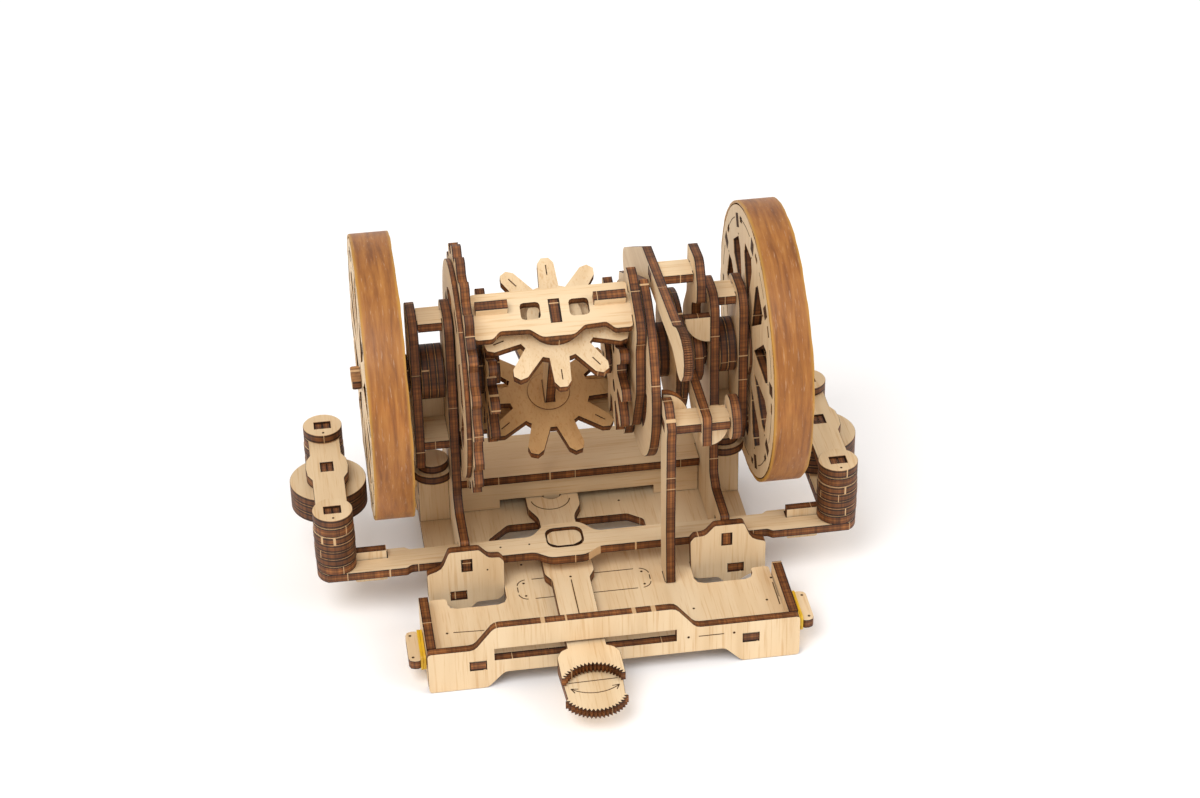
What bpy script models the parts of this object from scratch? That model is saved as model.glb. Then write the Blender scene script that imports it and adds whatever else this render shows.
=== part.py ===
# Wooden differential model, built from 3 mm plywood plates that are joined by tabs.
# X runs along the main axle, Y from the front panel to the rear, Z up from the table.
# Sizes here are in millimetres, and MM turns them into metres when a mesh is made.
# The origin is the middle of the whole model's footprint, on the table.

import math

import bmesh
import bpy
from mathutils import Matrix

MM = 0.001

# Plies and fits
PLY = 3.0
GAP = 0.3
RUN = 0.5
ROUND_STEPS = 2

# Base tray
BASE_X = 1.6
BASE_HALF = 58.3
BASE_DEPTH = 100.0
BASE_TOP = 10.3
TRAY_WALL_TOP = 14.9
FRONT_WALL_TOP = 22.9
FRONT_RISE_HALF = 28.2
FRONT_RISE_RUN = 6.4
FOOT_LENGTH = 18.3
FOOT_RUN = 5.4
FOOT_ARCH = 5.5
SLOT_HALF = 28.5
SLOT_TOP = 14.8
TRAY_DEPTH = 33.3
TAB_CENTRE = 42.8
TAB_HALF = 2.4
SIDE_TAB_REACH = 5.5

# Brackets and posts, measured from the base's middle
BRACKET_Y = 36.4
BRACKET_LOW = 3.1
BRACKET_TOP = 25.9
SIDE_PLATE_X = 41.9
LEFT_POST_X = 51.4
RIGHT_POST_X = 49.6
POST_TOP = 104.0
POST_HALF = 9.7
POST_BOTTOM = 40.3
LEG_TOP = 27.0
TIE_Z = 91.0
TIE_HALF = 5.0

# Main axle and differential
AXLE_Y = 69.5
AXLE_Z = 73.4
DIFF_X = -7.6
AXLE_RADIUS = 4.2
SPACER_RADIUS = 8.7
SPIDER_TILT = 27.4
SPIDER_TEETH = 10
SIDE_TEETH = 11
SPIDER_TIP = 23.4
SPIDER_ROOT = 13.2
SPIDER_TOOTH = 5.6
SIDE_TIP = 24.6
SIDE_ROOT = 15.0
SIDE_TOOTH = 5.0
SPIDER_PLANE = 20.5
SIDE_PLANE = 19.0
CROSS_PLANE = 27.1
CROSS_HALF = 8.2
RING_X = 26.0
RING_TIP = 39.7
RING_ROOT = 36.4
RING_TEETH = 20
BACKING_PLY = 1.5
CARRIER_X = 23.6
CARRIER_RADIUS = 28.0
FLANGE_RADIUS = 33.5

# Wheels
WHEEL_RADIUS = 44.0
WHEEL_OUTER = 68.0
WHEEL_WIDTH = 12.4
WHEEL_RIM = 7.5
SPOKES = 10
WHEEL_STEPS = 60
TYRE = 1.0

# Selector lever
PIVOT_Y = 80.5
LEVER_HALF = 6.1
LEVER_BODY_HALF = 8.0
TOE_RADIUS = 110.1
TOE_HALF = 9.8
TOE_TEETH = 17
TOE_TOOTH = 1.6
THUMB_RADIUS = 100.0

# Brake frame
ARM_X = 81.0
CROSSBAR_Z = 17.1
CROSSBAR_Y = 44.3
CROSSBAR_HALF = 4.3
STACK_RADIUS = 6.6
STACK_TOP = 34.9
STACK_REAR_Y = 92.3
ARM_HALF = 5.1
ROLLER_RADIUS = 12.3
ROLLER_Y = 73.0
ROLLER_LOW = 24.4
PEG_HALF = 2.2

# Rear of the base
WEB_Y = 79.0
WEB_LOW = 14.0
SHELF_Z = 21.9
REAR_WALL_TOP = 21.6

# Differential lock
LOCK_X = 23.8
LOCK_REAR_Y = 122.0
FORK_X = 37.0
LOCK_TIE_Z = 102.0
TALL_X = 22.6
TALL_TAB_LOW = 30.6
TALL_TAB_HIGH = 35.9
STOP_BAR_X = 33.8
STOP_TIE_Z = 67.0
CAP_X = 43.2
DRUM_X = 29.3
DRUM_RADIUS = 19.5

# The footprint's middle lies half way between the toe's tip and the lock lever's rear end
ORIGIN_Y = (PIVOT_Y - TOE_RADIUS + LOCK_REAR_Y) / 2

BIRCH = (0.78, 0.60, 0.38)
AXLE_POINT = (DIFF_X, AXLE_Y, AXLE_Z)


# Scene and materials

for old in list(bpy.data.objects):
    bpy.data.objects.remove(old, do_unlink=True)


def new_collection(name):
    collection = bpy.data.collections.new(name)
    bpy.context.scene.collection.children.link(collection)
    return collection


PARTS = new_collection("wooden_differential_model")
CUTTERS = new_collection("cutters")


def material(name, colour, roughness):
    shade = bpy.data.materials.new(name)
    shade.use_nodes = True
    shader = shade.node_tree.nodes["Principled BSDF"]
    shader.inputs["Base Color"].default_value = (*colour, 1.0)
    shader.inputs["Roughness"].default_value = roughness
    shader.inputs["Metallic"].default_value = 0.0
    return shade


# Outlines are lists of (u, v) points in millimetres, anticlockwise

def arc(cu, cv, radius, start, end, steps=6):
    points = []
    for i in range(steps + 1):
        turn = math.radians(start + (end - start) * i / steps)
        points.append((cu + radius * math.cos(turn), cv + radius * math.sin(turn)))
    return points


def circle(cu, cv, radius, steps=24):
    return arc(cu, cv, radius, 0, 360 - 360 / steps, steps - 1)


def box_outline(u0, v0, u1, v1):
    return [(u0, v0), (u1, v0), (u1, v1), (u0, v1)]


def rounded(points, steps=ROUND_STEPS):
    """Rounds each corner that has a third number, its radius."""
    result = []
    count = len(points)
    for i, point in enumerate(points):
        if len(point) == 2 or point[2] <= 0:
            result.append((point[0], point[1]))
            continue
        before, after = points[i - 1], points[(i + 1) % count]
        to_before = (before[0] - point[0], before[1] - point[1])
        to_after = (after[0] - point[0], after[1] - point[1])
        long_before, long_after = math.hypot(*to_before), math.hypot(*to_after)
        a = (to_before[0] / long_before, to_before[1] / long_before)
        b = (to_after[0] / long_after, to_after[1] / long_after)
        half = math.acos(max(-1.0, min(1.0, a[0] * b[0] + a[1] * b[1]))) / 2
        if half > math.pi / 2 - 0.01:
            result.append((point[0], point[1]))
            continue
        reach = min(point[2] / math.tan(half), 0.49 * long_before, 0.49 * long_after)
        radius = reach * math.tan(half)
        bisector = (a[0] + b[0], a[1] + b[1])
        size = math.hypot(*bisector)
        far = math.hypot(reach, radius)
        centre = (point[0] + bisector[0] / size * far, point[1] + bisector[1] / size * far)
        first = (point[0] + a[0] * reach - centre[0], point[1] + a[1] * reach - centre[1])
        last = (point[0] + b[0] * reach - centre[0], point[1] + b[1] * reach - centre[1])
        start = math.atan2(first[1], first[0])
        sweep = (math.atan2(last[1], last[0]) - start + math.pi) % (2 * math.pi) - math.pi
        for k in range(steps + 1):
            turn = start + sweep * k / steps
            result.append((centre[0] + radius * math.cos(turn), centre[1] + radius * math.sin(turn)))
    return result


def mirrored(points):
    """The outline reflected in u = 0."""
    return [(-p[0], *p[1:]) for p in reversed(points)]


def shifted(points, du, dv=0.0):
    return [(p[0] + du, p[1] + dv, *p[2:]) for p in points]


def toothed(teeth, root, tip, width, turn=0.0, narrowing=0.86):
    """A gear whose teeth have straight sides and round ends, the first one at angle turn."""
    points = []
    half = width / 2
    end_radius = half * narrowing
    for i in range(teeth):
        middle = math.radians(turn + 360 * i / teeth)
        side = [(math.sqrt(root ** 2 - (half * 1.1) ** 2), half * 1.1)]
        side.append((tip - end_radius * 0.8, half * 0.92))
        side.append((tip, end_radius * 0.5))
        profile = [(r, -t) for r, t in side] + [(r, t) for r, t in reversed(side)]
        for r, t in profile:
            points.append((r * math.cos(middle) - t * math.sin(middle),
                           r * math.sin(middle) + t * math.cos(middle)))
        between = middle + math.pi / teeth
        points.append((root * math.cos(between), root * math.sin(between)))
    return points


def curve_mesh(name, outlines, thickness):
    """A flat filled outline with its holes, as a closed mesh centred on its middle plane."""
    curve = bpy.data.curves.new(name, "CURVE")
    curve.dimensions = "2D"
    curve.fill_mode = "BOTH"
    curve.extrude = thickness / 2 * MM
    for outline in outlines:
        spline = curve.splines.new("POLY")
        spline.points.add(len(outline) - 1)
        for point, (u, v) in zip(spline.points, outline):
            point.co = (u * MM, v * MM, 0.0, 1.0)
        spline.use_cyclic_u = True
    guide = bpy.data.objects.new(name + "_outline", curve)
    CUTTERS.objects.link(guide)
    bpy.context.view_layer.update()
    evaluated = guide.evaluated_get(bpy.context.evaluated_depsgraph_get())
    mesh = bpy.data.meshes.new_from_object(evaluated)
    bpy.data.objects.remove(guide, do_unlink=True)
    work = bmesh.new()
    work.from_mesh(mesh)
    bmesh.ops.remove_doubles(work, verts=work.verts, dist=1e-6)
    bmesh.ops.recalc_face_normals(work, faces=work.faces)
    work.to_mesh(mesh)
    work.free()
    mesh.name = name
    return mesh


# Outline axes: X plates are drawn in (y, z), Y plates in (x, z) and Z plates in (x, y)
TURNS = {
    "X": Matrix(((0, 0, 1), (1, 0, 0), (0, 1, 0))).to_4x4(),
    "Y": Matrix(((1, 0, 0), (0, 0, -1), (0, 1, 0))).to_4x4(),
    "Z": Matrix.Identity(4),
}


def shift(x, y, z):
    return Matrix.Translation((x * MM, y * MM, z * MM))


def tilted(steps=0.0):
    """The spider's frame: its Z leans to the front, and steps turns it about the axle."""
    return shift(*AXLE_POINT) @ Matrix.Rotation(math.radians(SPIDER_TILT + steps), 4, "X")


def add_node(name, mesh, colour=BIRCH, roughness=0.62, pivot=(0.0, 0.0, 0.0)):
    """Makes a sub-part of a mesh that is in place, with its origin at pivot."""
    to_origin = shift(0, -ORIGIN_Y, 0)
    mesh.transform(to_origin)
    place = shift(*pivot) if pivot == (0.0, 0.0, 0.0) else to_origin @ shift(*pivot)
    mesh.transform(place.inverted())
    obj = bpy.data.objects.new(name, mesh)
    obj.matrix_world = place
    mesh.materials.append(material(name, colour, roughness))
    PARTS.objects.link(obj)
    return obj


def plate_mesh(name, normal, low, outlines, thickness=PLY, frame=None):
    mesh = curve_mesh(name, outlines, thickness)
    mesh.transform(TURNS[normal])
    middle = low + thickness / 2
    offset = {"X": (middle, 0, 0), "Y": (0, middle, 0), "Z": (0, 0, middle)}[normal]
    mesh.transform(shift(*offset))
    if frame is not None:
        mesh.transform(frame)
    return mesh


def plate(name, normal, low, outline, holes=(), thickness=PLY, frame=None, **look):
    """A flat plate: low is where it starts along its normal."""
    mesh = plate_mesh(name, normal, low, [outline, *holes], thickness, frame)
    return add_node(name, mesh, **look)


def joined(name, meshes, frame=None, **look):
    """One solid from overlapping meshes, by Boolean unions that are applied here."""
    base = bpy.data.objects.new(name + "_base", meshes[0])
    CUTTERS.objects.link(base)
    helpers = [base]
    for i, mesh in enumerate(meshes[1:]):
        other = bpy.data.objects.new(name + "_piece_" + str(i), mesh)
        CUTTERS.objects.link(other)
        helpers.append(other)
        union = base.modifiers.new("union_" + str(i), "BOOLEAN")
        union.operation = "UNION"
        union.solver = "EXACT"
        union.object = other
    bpy.context.view_layer.update()
    result = bpy.data.meshes.new_from_object(base.evaluated_get(bpy.context.evaluated_depsgraph_get()))
    for helper in helpers:
        bpy.data.objects.remove(helper, do_unlink=True)
    result.materials.clear()
    if frame is not None:
        result.transform(frame)
    return add_node(name, result, **look)


UPRIGHT = Matrix.Rotation(math.radians(-90), 4, "Y")


def turned_mesh(name, profile, steps=32, closed=False):
    """A solid turned about the X axis from (x, radius) points, by a Screw modifier."""
    mesh = bpy.data.meshes.new(name)
    work = bmesh.new()
    verts = [work.verts.new((x * MM, 0.0, radius * MM)) for x, radius in profile]
    for first, second in zip(verts, verts[1:]):
        work.edges.new((first, second))
    if closed:
        work.edges.new((verts[-1], verts[0]))
    work.to_mesh(mesh)
    work.free()
    obj = bpy.data.objects.new(name + "_profile", mesh)
    CUTTERS.objects.link(obj)
    screw = obj.modifiers.new("turn", "SCREW")
    screw.axis = "X"
    screw.steps = steps
    screw.render_steps = steps
    screw.use_merge_vertices = True
    screw.merge_threshold = 0.00001
    bpy.context.view_layer.update()
    result = bpy.data.meshes.new_from_object(obj.evaluated_get(bpy.context.evaluated_depsgraph_get()))
    bpy.data.objects.remove(obj, do_unlink=True)
    work = bmesh.new()
    work.from_mesh(result)
    bmesh.ops.remove_doubles(work, verts=work.verts, dist=1e-6)
    bmesh.ops.recalc_face_normals(work, faces=work.faces)
    work.to_mesh(result)
    work.free()
    return result


# Front tray

def front_panel():
    low = [(-BASE_HALF, 0, 1.0), (-BASE_HALF + FOOT_LENGTH, 0, 2.5),
           (-BASE_HALF + FOOT_LENGTH + FOOT_RUN, FOOT_ARCH, 2.5)]
    low += mirrored(low)
    rise = DIFF_X - BASE_X
    high = []
    for side in (1, -1):
        near = rise + side * FRONT_RISE_HALF
        far = near + side * FRONT_RISE_RUN
        pair = [(far, TRAY_WALL_TOP, 3.0), (near, FRONT_WALL_TOP, 3.0)]
        high += pair if side > 0 else pair[::-1]
    top = [(BASE_HALF, TRAY_WALL_TOP, 1.0), *high, (-BASE_HALF, TRAY_WALL_TOP, 1.0)]
    slot = box_outline(rise - SLOT_HALF, BASE_TOP, rise + SLOT_HALF, SLOT_TOP)
    holes = [slot]
    for side in (-1, 1):
        centre = side * TAB_CENTRE
        holes.append(box_outline(centre - TAB_HALF - GAP, BASE_TOP - PLY - GAP,
                                 centre + TAB_HALF + GAP, BASE_TOP + GAP))
    outline = rounded(shifted(low + top, BASE_X))
    plate("front_panel", "Y", 0.0, outline, [shifted(hole, BASE_X) for hole in holes])


NOTCH_IN = 30.2
NOTCH_OUT = 49.2
NOTCH_Y = 27.7
REAR_HALF = 53.4
REAR_FRONT_Y = BRACKET_Y + PLY + GAP
NECK_LOW = 5.0
NECK_HIGH = 17.0
HEAD_LOW = 3.5
HEAD_HIGH = 18.5
TRAY_EDGE = BASE_HALF - PLY - GAP
CUT_LEFT = -32.3
CUT_RIGHT = 19.7
CUT_FRONT = 50.5
CUT_REAR = 69.5


def base_plate():
    right = [(TAB_CENTRE - TAB_HALF, PLY + GAP), (TAB_CENTRE - TAB_HALF, 0.1), (TAB_CENTRE + TAB_HALF, 0.1),
             (TAB_CENTRE + TAB_HALF, PLY + GAP), (TRAY_EDGE, PLY + GAP), (TRAY_EDGE, NECK_LOW),
             (BASE_HALF + 1.9, NECK_LOW), (BASE_HALF + 1.9, HEAD_LOW, 1.0),
             (BASE_HALF + SIDE_TAB_REACH, HEAD_LOW, 3.5), (BASE_HALF + SIDE_TAB_REACH, HEAD_HIGH, 3.5),
             (BASE_HALF + 1.9, HEAD_HIGH, 1.0), (BASE_HALF + 1.9, NECK_HIGH), (TRAY_EDGE, NECK_HIGH),
             (TRAY_EDGE, TRAY_DEPTH, 1.0), (NOTCH_OUT, TRAY_DEPTH, 1.0), (NOTCH_OUT, NOTCH_Y, 3.0),
             (NOTCH_IN, NOTCH_Y, 3.0), (NOTCH_IN, REAR_FRONT_Y),
             (TAB_CENTRE + 2.1 - TAB_HALF, REAR_FRONT_Y), (TAB_CENTRE + 2.1 - TAB_HALF, BRACKET_Y + 0.2),
             (TAB_CENTRE + 2.1 + TAB_HALF, BRACKET_Y + 0.2), (TAB_CENTRE + 2.1 + TAB_HALF, REAR_FRONT_Y),
             (REAR_HALF, REAR_FRONT_Y, 1.0), (REAR_HALF, BASE_DEPTH - PLY - GAP)]
    outline = rounded(shifted(right + mirrored(right), BASE_X))
    cut = [(CUT_LEFT, CUT_FRONT, 3.0), (CUT_RIGHT, CUT_FRONT, 3.0), (CUT_RIGHT, CUT_REAR - 4, 2.0),
           (CUT_RIGHT - 5, CUT_REAR, 2.0), (CUT_LEFT + 7, CUT_REAR, 2.0), (CUT_LEFT, CUT_REAR - 7, 2.0)]
    tall_slot = box_outline(TALL_X - GAP, TALL_TAB_LOW - GAP, TALL_X + PLY + GAP, TALL_TAB_HIGH + GAP)
    plate("base_plate", "Z", BASE_TOP - PLY, outline, [rounded(shifted(cut, BASE_X)), pivot_socket(), tall_slot])


PIN_HALF = 2.6


def pivot_socket():
    return box_outline(DIFF_X - PIN_HALF - GAP, WEB_Y - GAP, DIFF_X + PIN_HALF + GAP, WEB_Y + PLY + GAP)


def end_panels():
    outline = rounded([(PLY + GAP, 0), (11, 0, 2.0), (14, 4.0, 2.0), (21, 4.0, 2.0), (24, 0, 2.0),
                       (30, 0, 1.0), (30, TRAY_WALL_TOP, 1.0), (PLY + GAP, TRAY_WALL_TOP)])
    hole = box_outline(NECK_LOW - GAP, BASE_TOP - PLY - GAP, NECK_HIGH + GAP, BASE_TOP + GAP)
    plate("left_end_panel", "X", BASE_X - BASE_HALF, outline, [hole])
    plate("right_end_panel", "X", BASE_X + BASE_HALF - PLY, outline, [hole])


def rubber_bands():
    """Wound round the necks of the side tabs, outside the end panels."""
    for name, side in (("left_rubber_band", -1), ("right_rubber_band", 1)):
        x = BASE_X + side * (BASE_HALF + 1.05)
        low, high = NECK_LOW - GAP - 1.0, NECK_HIGH + GAP + 1.0
        bottom, top = BASE_TOP - PLY - GAP, BASE_TOP + GAP
        outline = rounded([(low, bottom - 1.0, 1.2), (high, bottom - 1.0, 1.2),
                           (high, top + 1.0, 1.2), (low, top + 1.0, 1.2)])
        hole = box_outline(low + 1.0, bottom, high - 1.0, top)
        plate(name, "X", x - 0.6, outline, [hole], thickness=1.2, colour=(0.85, 0.62, 0.05), roughness=0.4)


# Brackets and posts

def brackets():
    """Each bracket's outline is drawn from the base's middle; its outer side is the first one."""
    left = [(-54.6, 7.7, 0.8), (-48.8, 5.2, 1.5), (-45.5, BRACKET_LOW, 2.0), (-41.5, BRACKET_LOW, 2.0),
            (-39.3, 5.6, 2.0), (-32.3, 5.7, 2.0), (-30.4, 7.2, 1.5), (-30.1, 20.7, 1.5), (-31.4, 22.3, 1.0),
            (-34.9, 22.5, 2.5), (-37.9, BRACKET_TOP, 1.0), (-47.4, BRACKET_TOP, 1.0),
            (-49.9, 19.6, 4.0), (-54.6, 18.0, 0.8)]
    side_hole = box_outline(-SIDE_PLATE_X - PLY / 2 - GAP, 17.9, -SIDE_PLATE_X + PLY / 2 + GAP, 22.8)
    tab = -TAB_CENTRE - 2.1
    base_hole = box_outline(tab - TAB_HALF - GAP, BASE_TOP - PLY - GAP, tab + TAB_HALF + GAP, BASE_TOP + GAP)
    holes = [side_hole, base_hole]
    for name, side in (("left_bracket", -1), ("right_bracket", 1)):
        turned = left if side < 0 else mirrored(left)
        turned_holes = holes if side < 0 else [mirrored(hole) for hole in holes]
        plate(name, "Y", BRACKET_Y, rounded(shifted(turned, BASE_X)),
              [shifted(hole, BASE_X) for hole in turned_holes])


def axle_hole():
    return circle(AXLE_Y, AXLE_Z, AXLE_RADIUS + RUN, 16)


def tie_hole(z):
    return box_outline(AXLE_Y - 2.5 - GAP, z - GAP, AXLE_Y + 2.5 + GAP, z + PLY + GAP)


CROSSBAR_ROOM = 1.0


def side_plates():
    bar_low = CROSSBAR_Z - CROSSBAR_ROOM / 2
    bar_high = CROSSBAR_Z + PLY + CROSSBAR_ROOM / 2
    front = BRACKET_Y + PLY + GAP
    bar_rear = CROSSBAR_Y + CROSSBAR_HALF + CROSSBAR_ROOM
    foot = BASE_TOP + GAP
    outline = rounded([
        (bar_rear, foot), (BASE_DEPTH - 2 * PLY, foot), (BASE_DEPTH - PLY - GAP, foot),
        (BASE_DEPTH - PLY - GAP, 31.0, 3.0), (84.5, 40.0, 8.0), (AXLE_Y + POST_HALF, 52.0, 6.0),
        (AXLE_Y + POST_HALF, POST_TOP, 6.5), (AXLE_Y - POST_HALF, POST_TOP, 6.5),
        (AXLE_Y - POST_HALF, 30.5, 3.0), (AXLE_Y - POST_HALF - 4.5, LEG_TOP, 3.0), (front, LEG_TOP, 1.0),
        (front, 22.5), (BRACKET_Y + 0.2, 22.5), (BRACKET_Y + 0.2, 18.2), (front, 18.2 + 2.6),
        (front, bar_high), (bar_rear, bar_high)])
    shelf = box_outline(WEB_Y + PLY + 3.0, SHELF_Z - GAP, WEB_Y + PLY + 11.0, SHELF_Z + PLY + GAP)
    holes = [axle_hole(), tie_hole(TIE_Z), shelf]
    for name, side in (("left_side_plate", -1), ("right_side_plate", 1)):
        plate(name, "X", BASE_X + side * SIDE_PLATE_X - PLY / 2, outline, holes)


def outer_posts():
    outline = rounded([(AXLE_Y - 6.0, POST_BOTTOM, 1.5), (AXLE_Y + 6.0, POST_BOTTOM, 1.5),
                       (AXLE_Y + POST_HALF, 48.0, 4.0), (AXLE_Y + POST_HALF, POST_TOP - 4, 6.5),
                       (AXLE_Y - POST_HALF, POST_TOP - 4, 6.5), (AXLE_Y - POST_HALF, 48.0, 4.0)])
    holes = [axle_hole(), tie_hole(TIE_Z)]
    plate("left_outer_post", "X", BASE_X - LEFT_POST_X - PLY, outline, holes)
    plate("right_outer_post", "X", BASE_X + RIGHT_POST_X, outline, holes)


def post_ties():
    """Flat ties with a tab at each end that passes through the posts."""
    for name, reach in (("left_post_tie", LEFT_POST_X), ("right_post_tie", RIGHT_POST_X)):
        outline = post_tie_outline(reach - GAP)
        turned = mirrored(outline) if name.startswith("left") else outline
        plate(name, "Z", TIE_Z, shifted(turned, BASE_X))


def post_tie_outline(outer):
    inner = SIDE_PLATE_X + PLY / 2 + GAP
    tab = 2.5
    return [(inner, AXLE_Y - TIE_HALF), (outer, AXLE_Y - TIE_HALF), (outer, AXLE_Y - tab),
               (outer + PLY + GAP - 0.1, AXLE_Y - tab), (outer + PLY + GAP - 0.1, AXLE_Y + tab),
               (outer, AXLE_Y + tab), (outer, AXLE_Y + TIE_HALF), (inner, AXLE_Y + TIE_HALF),
               (inner, AXLE_Y + tab), (inner - PLY - 0.1, AXLE_Y + tab),
               (inner - PLY - 0.1, AXLE_Y - tab), (inner, AXLE_Y - tab)]


FOOT_DISC_RADIUS = 6.2
FOOT_DISC_CAP = 5.0


def foot_discs():
    """Two round plies under each outer post, held off the side plate."""
    for name, side, off in (("left_foot_discs", -1, 5.0), ("right_foot_discs", 1, 3.0)):
        flat = BASE_X + side * (SIDE_PLATE_X + PLY / 2 + GAP)
        centre = flat + side * off
        lower = [p if side * (p[0] - flat) > 0 else (flat, p[1])
                 for p in circle(centre, AXLE_Y, FOOT_DISC_RADIUS + 0.5, 28)]
        low_z = POST_BOTTOM - GAP - 2 * PLY
        first = plate_mesh(name, "Z", low_z, [lower], PLY + 0.1)
        cap = [p if side * (p[0] - flat) > 0 else (flat, p[1])
               for p in circle(centre, AXLE_Y, FOOT_DISC_CAP, 28)]
        second = plate_mesh(name, "Z", low_z + PLY, [cap], PLY)
        joined(name, [first, second])


# Rear of the base

def rear_plates():
    inner = SIDE_PLATE_X - PLY / 2 - GAP
    foot = BASE_TOP + GAP
    cut_left, cut_right = CUT_LEFT + 5.7, CUT_RIGHT + 5.5
    pin = DIFF_X - BASE_X
    web = [(-inner, foot), (cut_left, foot), (cut_left, WEB_LOW), (pin - PIN_HALF, WEB_LOW),
           (pin - PIN_HALF, BASE_TOP - PLY + 0.1), (pin + PIN_HALF, BASE_TOP - PLY + 0.1),
           (pin + PIN_HALF, WEB_LOW), (cut_right, WEB_LOW), (cut_right, foot), (inner, foot),
           (inner, SHELF_Z - GAP), (-inner, SHELF_Z - GAP)]
    plate("rear_web", "Y", WEB_Y, shifted(web, BASE_X))
    tab_low, tab_high = WEB_Y + PLY + 3.0 + GAP, WEB_Y + PLY + 11.0 - GAP
    right = [(inner, WEB_Y - 2.5), (inner, tab_low), (inner + PLY, tab_low), (inner + PLY, tab_high),
             (inner, tab_high), (inner, BASE_DEPTH)]
    shelf = right + mirrored(right)
    plate("rear_shelf", "Z", SHELF_Z, shifted(shelf, BASE_X))
    wall = [(-REAR_HALF, 0, 1.0), (-REAR_HALF + FOOT_LENGTH - 3, 0, 2.5),
            (-REAR_HALF + FOOT_LENGTH - 3 + FOOT_RUN, FOOT_ARCH, 2.5)]
    wall += mirrored(wall)
    wall += [(REAR_HALF, REAR_WALL_TOP, 2.0), (-REAR_HALF, REAR_WALL_TOP, 2.0)]
    plate("rear_wall", "Y", BASE_DEPTH - PLY, rounded(shifted(wall, BASE_X)))


# Selector lever

def selector():
    """The upper ply turns on the web's pin and passes through the front panel's slot."""
    pivot = (DIFF_X, PIVOT_Y, BASE_TOP + GAP)
    head_half = 8.8
    neck_half = 5.9
    right = [(LEVER_HALF, -2.0), (LEVER_HALF, 33.0, 2.0), (LEVER_BODY_HALF, 36.5, 2.0),
             (LEVER_BODY_HALF, 50.0, 2.5), (neck_half, 57.0, 4.0), (neck_half, 67.0, 8.0),
             (head_half, 73.0, 6.0), (head_half, 80.0, 4.0), (head_half - 3.0, 87.5, 5.0)]
    thumb = [(LEVER_HALF + 2.2, -3.2, 2.0), (TOE_HALF, -6.0, 2.5)]
    back = arc(0, PIVOT_Y, THUMB_RADIUS, -90 + 5.6, -90 - 5.6, 22)
    teeth = []
    for i, (u, v) in enumerate(back):
        deep = 1.4 if i % 2 else 0.0
        scale = (THUMB_RADIUS - deep) / THUMB_RADIUS
        teeth.append((u * scale, PIVOT_Y + (v - PIVOT_Y) * scale))
    side = thumb[::-1] + right
    outline = teeth[::-1] + side + [(0, 89.0, 6.0)] + mirrored(side)
    hole = circle(0, PIVOT_Y, math.hypot(PIN_HALF, PLY / 2) + 0.35, 16)
    upper = plate_mesh("selector_lever", "Z", BASE_TOP + GAP, [shifted(rounded(outline), DIFF_X),
                                                             shifted(hole, DIFF_X)])
    add_node("selector_lever", upper, pivot=pivot)
    toe = []
    for i in range(4 * TOE_TEETH + 1):
        turn = math.radians(-90 - 5.1 + 10.2 * i / (4 * TOE_TEETH))
        radius = TOE_RADIUS - (0.0 if i % 4 == 2 else TOE_TOOTH if i % 4 == 0 else TOE_TOOTH / 2)
        toe.append((radius * math.cos(turn), PIVOT_Y + radius * math.sin(turn)))
    toe += [(TOE_HALF, -6.0, 2.5), (LEVER_HALF + 2.2, -1.4, 1.0), (-LEVER_HALF - 2.2, -1.4, 1.0),
            (-TOE_HALF, -6.0, 2.5)]
    lower = plate_mesh("selector_toe", "Z", BASE_TOP - PLY, [shifted(rounded(toe), DIFF_X)])
    add_node("selector_toe", lower, pivot=pivot)
    key_low = BASE_TOP + PLY + 2 * GAP
    key = rounded([(-KEY_HALF, CROSSBAR_Y - 4.6, 2.0), (KEY_HALF, CROSSBAR_Y - 4.6, 2.0),
                   (KEY_HALF, CROSSBAR_Y + 1.6, 2.0), (-KEY_HALF, CROSSBAR_Y + 1.6, 2.0)])
    key_mesh = plate_mesh("selector_key", "Z", key_low, [shifted(key, DIFF_X)], CROSSBAR_Z + PLY - key_low - 0.4)
    add_node("selector_key", key_mesh, pivot=pivot)


# Brake frame

KEY_ROOM = 1.6
KEY_HALF = 4.2


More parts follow.
